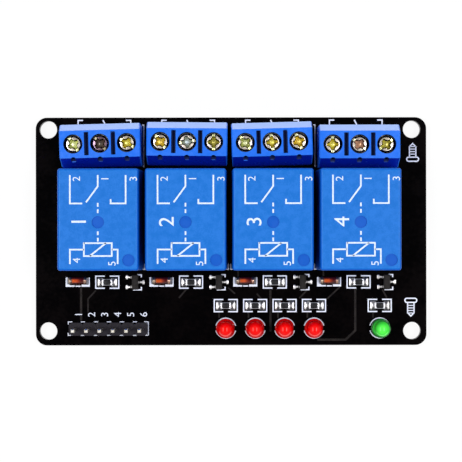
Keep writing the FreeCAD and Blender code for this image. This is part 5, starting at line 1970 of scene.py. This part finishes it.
DIODE_STUD = Plated("diode_stud", (0.86, 0.76, 0.70), (0.6, 0.45, 0.38), 2500.0, 0.7, 0.28, 1.0)
TRANSISTOR_BLACK = Finish(
    "transistor_black", (0.013, 0.011, 0.010), (0.026, 0.023, 0.021), 2500.0, 0.6, 0.4, specular=0.1
)
BOARD_MASK = Laminate(
    "board_mask", (0.0006, 0.0004, 0.0007), (0.0022, 0.0012, 0.0014), 220.0, 0.7, 0.16, specular=0.02
)
TERMINAL_BLUE = TerminalMoulding(
    "terminal_blue", (0.008, 0.150, 0.78), (0.016, 0.175, 0.84), 260.0, 0.7, 0.2, specular=0.3
)
RELAY_BLUE = RelayMoulding(
    "relay_blue", (0.005, 0.145, 0.56), (0.012, 0.172, 0.64), 700.0, 0.8, 0.3, specular=0.14, grain=0.2
)
CAGE_METAL = Finish("cage_metal", (0.74, 0.73, 0.70), (0.6, 0.58, 0.54), 900.0, 0.7, 0.3, 1.0)
CONTACT_TIN = Finish("contact_tin", (0.76, 0.75, 0.72), (0.6, 0.59, 0.56), 900.0, 0.7, 0.32, 1.0)
HEADER_BLACK = Finish(
    "header_black", (0.013, 0.011, 0.016), (0.022, 0.019, 0.025), 2200.0, 0.7, 0.4, specular=0.1, grain=0.2
)
PIN_METAL = Finish("pin_metal", (0.9, 0.88, 0.82), (0.78, 0.72, 0.6), 1600.0, 0.7, 0.22, 1.0)
LEAD_STEEL = Finish("lead_steel", (0.72, 0.72, 0.73), (0.55, 0.55, 0.56), 1500.0, 0.7, 0.3, 1.0)
BASE_PLASTIC = Finish("base_plastic", (0.015, 0.09, 0.36), (0.02, 0.12, 0.45), 700.0, 0.7, 0.5)
SOFT_IRON = Finish("soft_iron", (0.5, 0.5, 0.52), (0.38, 0.37, 0.38), 900.0, 0.8, 0.38, 1.0)
BOBBIN_PLASTIC = Finish("bobbin_plastic", (0.80, 0.79, 0.74), (0.7, 0.69, 0.64), 700.0, 0.6, 0.5)
WINDING = Finish("winding_enamel", (0.62, 0.22, 0.08), (0.45, 0.14, 0.05), 1800.0, 0.8, 0.3, 1.0, grain=0.5)
RELAY_LEADS = Finish("relay_lead_metal", (0.74, 0.72, 0.68), (0.62, 0.55, 0.42), 1200.0, 0.7, 0.3, 1.0)


@dataclass
class FrameFinishes:
    """Finishes of the parts that keep their own solids.

    Args:
        table: finish of each kind of node, by the start of its name.
    """

    table: dict[str, Finish] = field(
        default_factory=lambda: {
            "circuit_board": BOARD_MASK,
            "terminal_contacts": CONTACT_TIN,
            "wire_cage": CAGE_METAL,
            "relay_case": RELAY_BLUE,
            "relay_bases": BASE_PLASTIC,
            "relay_terminals": RELAY_LEADS,
            "relay_yokes": SOFT_IRON,
            "relay_armature": SOFT_IRON,
            "relay_bobbins": BOBBIN_PLASTIC,
            "relay_windings": WINDING,
            "pin_header_housing": HEADER_BLACK,
            "pin_header_pins": PIN_METAL,
        }
    )

    def finish(self, node: str) -> Finish:
        """Finish of a node. A terminal block's is centred on its middle screw.

        Args:
            node: name of the node.

        Returns:
            Its finish, which is lead steel where the table has none.
        """
        if node.startswith("terminal_housing"):
            channel = node[-1]
            middle = LAYOUT.middle(f"clamp_screw_{channel}_2")
            return replace(TERMINAL_BLUE, name=f"terminal_blue_{channel}", middle=middle)
        return next((finish for start, finish in self.table.items() if node.startswith(start)), LEAD_STEEL)

    def build(self) -> None:
        """Give every shown node its finish."""
        made: dict[str, Material] = {}
        for name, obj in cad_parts.items():
            finish = self.finish(name)
            if finish.name not in made:
                made[finish.name] = finish.build()
            obj.data.materials.clear()
            obj.data.materials.append(made[finish.name])
        log.info("%d nodes dressed in %d finishes", len(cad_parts), len(made))


# The studio


@dataclass
class Studio:
    """Camera straight above, a pale floor, two soft lamps and an even sky.

    Args:
        eye: camera in millimetres.
        tilt: its small turns about X, Y and Z in degrees.
        focal: its focal length in millimetres.
        lamp_angle: from straight up to a lamp, in degrees.
        lamp_distance: from the object to a lamp, in metres.
        lamp_size: width and length of a lamp in metres.
        lamp_power: power of a lamp in watts.
        sky: strength of the even sky.
        zenith: strength that mirrors see straight above.
        horizon: strength that they see low down.
        overhead: angles from straight up at which the sky in mirrors is low and is bright.
        white_share: share of plain white in the floor that the camera sees.
        floor_half: half of the floor's side in metres.
    """

    eye: Point = (0.549, -0.835, 343.0)
    tilt: Triple = (0.113, 0.062, -0.084)
    focal: float = 136.3
    lamp_angle: float = 22.0
    lamp_distance: float = 0.9
    lamp_size: Pair = (0.1, 0.3)
    lamp_power: float = 3.0
    sky: float = 0.54
    zenith: float = 0.3
    horizon: float = 0.95
    overhead: Pair = (12.0, 45.0)
    white_share: float = 0.92
    floor_half: float = 3.0

    def camera(self) -> None:
        """Set up the camera."""
        data = bpy.data.cameras.new("portrait_camera")
        data.lens = self.focal
        data.sensor_width = 36.0
        data.clip_start, data.clip_end = 0.01, 10.0
        camera = put("portrait_camera", data)
        camera.location = [value * MM for value in self.eye]
        camera.rotation_euler = [math.radians(value) for value in self.tilt]
        bpy.context.scene.camera = camera

    def lamps(self) -> None:
        """Hang a strip lamp on each side of the camera, both facing the object."""
        for name, turn in (("left_lamp", -self.lamp_angle), ("right_lamp", self.lamp_angle)):
            angle = math.radians(turn)
            data = bpy.data.lights.new(name, "AREA")
            data.shape = "RECTANGLE"
            data.size, data.size_y = self.lamp_size
            data.energy = self.lamp_power
            lamp = put(name, data)
            lamp.location = (math.sin(angle) * self.lamp_distance, 0.0, math.cos(angle) * self.lamp_distance)
            lamp.rotation_euler = (0.0, angle, 0.0)

    def floor(self) -> None:
        """Lay the pale floor, which is plain white to the camera, in mirrors and through glass."""
        material, nodes = new_material("pale_floor")
        grain = nodes.add("TexNoise", {"Vector": nodes.place(), "Scale": 60.0}).outputs["Fac"]
        matte = nodes.add("BsdfDiffuse", {"Color": nodes.mix(grain, (0.93, 0.93, 0.93), (0.96, 0.96, 0.96))})
        white = nodes.add("Emission", {"Strength": 1.0})
        path = nodes.add("LightPath").outputs
        seen = nodes.math("MAXIMUM", path["Is Camera Ray"], path["Is Transmission Ray"])
        share = nodes.product(nodes.math("MAXIMUM", seen, path["Is Glossy Ray"]), self.white_share)
        mixed = nodes.add("MixShader", {0: share, 1: matte.outputs[0], 2: white.outputs[0]})
        nodes.add("OutputMaterial", {"Surface": mixed.outputs[0]})
        half, level = self.floor_half, CAD_BOX[0][2]
        corners = [(-half, -half, level), (half, -half, level), (half, half, level), (-half, half, level)]
        mesh = bpy.data.meshes.new("floor")
        mesh.from_pydata(corners, [], [(0, 1, 2, 3)])
        mesh.materials.append(material)
        obj = put("floor", mesh)

    def world(self) -> None:
        """An even sky that looks white to the camera and darker overhead in mirrors."""
        world = bpy.data.worlds.new("studio_sky")
        bpy.context.scene.world = world
        world.use_nodes = True
        nodes = Nodes(world.node_tree)
        path = nodes.add("LightPath").outputs
        even = nodes.add("Background", {"Strength": self.sky, "Color": WHITE})
        upward = nodes.parts(nodes.add("TexCoord").outputs["Generated"])[2]
        low = nodes.step(upward, [math.cos(math.radians(angle)) for angle in self.overhead])
        strength = nodes.math("MULTIPLY_ADD", low, self.horizon - self.zenith, self.zenith)
        mirrored = nodes.add("Background", {"Strength": strength, "Color": WHITE})
        seen = nodes.add("Background", {"Strength": 1.0, "Color": WHITE})
        first = nodes.add("MixShader", {0: path["Is Glossy Ray"], 1: even.outputs[0], 2: mirrored.outputs[0]})
        last = nodes.add("MixShader", {0: path["Is Camera Ray"], 1: first.outputs[0], 2: seen.outputs[0]})
        nodes.add("OutputWorld", {"Surface": last.outputs[0]})

    def build(self) -> None:
        """Set up everything round the object."""
        bpy.context.scene.view_settings.view_transform = "Standard"
        self.camera()
        self.lamps()
        self.floor()
        self.world()


def main() -> None:
    """Build the sub-assemblies in order."""
    logging.basicConfig(level=logging.INFO, format="%(name)s: %(message)s")
    mottle_effect()
    grain_effect()
    facing_effect()
    Studio().build()
    for part in (
        FrameFinishes(),
        BoardTracks(),
        BoardPrint(),
        ClampScrews(),
        Lamps(),
        RelayPrint(),
        Joints(),
        ChipResistors(),
        GlassDiodes(),
        SmallTransistors(),
    ):
        part.build()


if __name__ == "__main__":
    main()
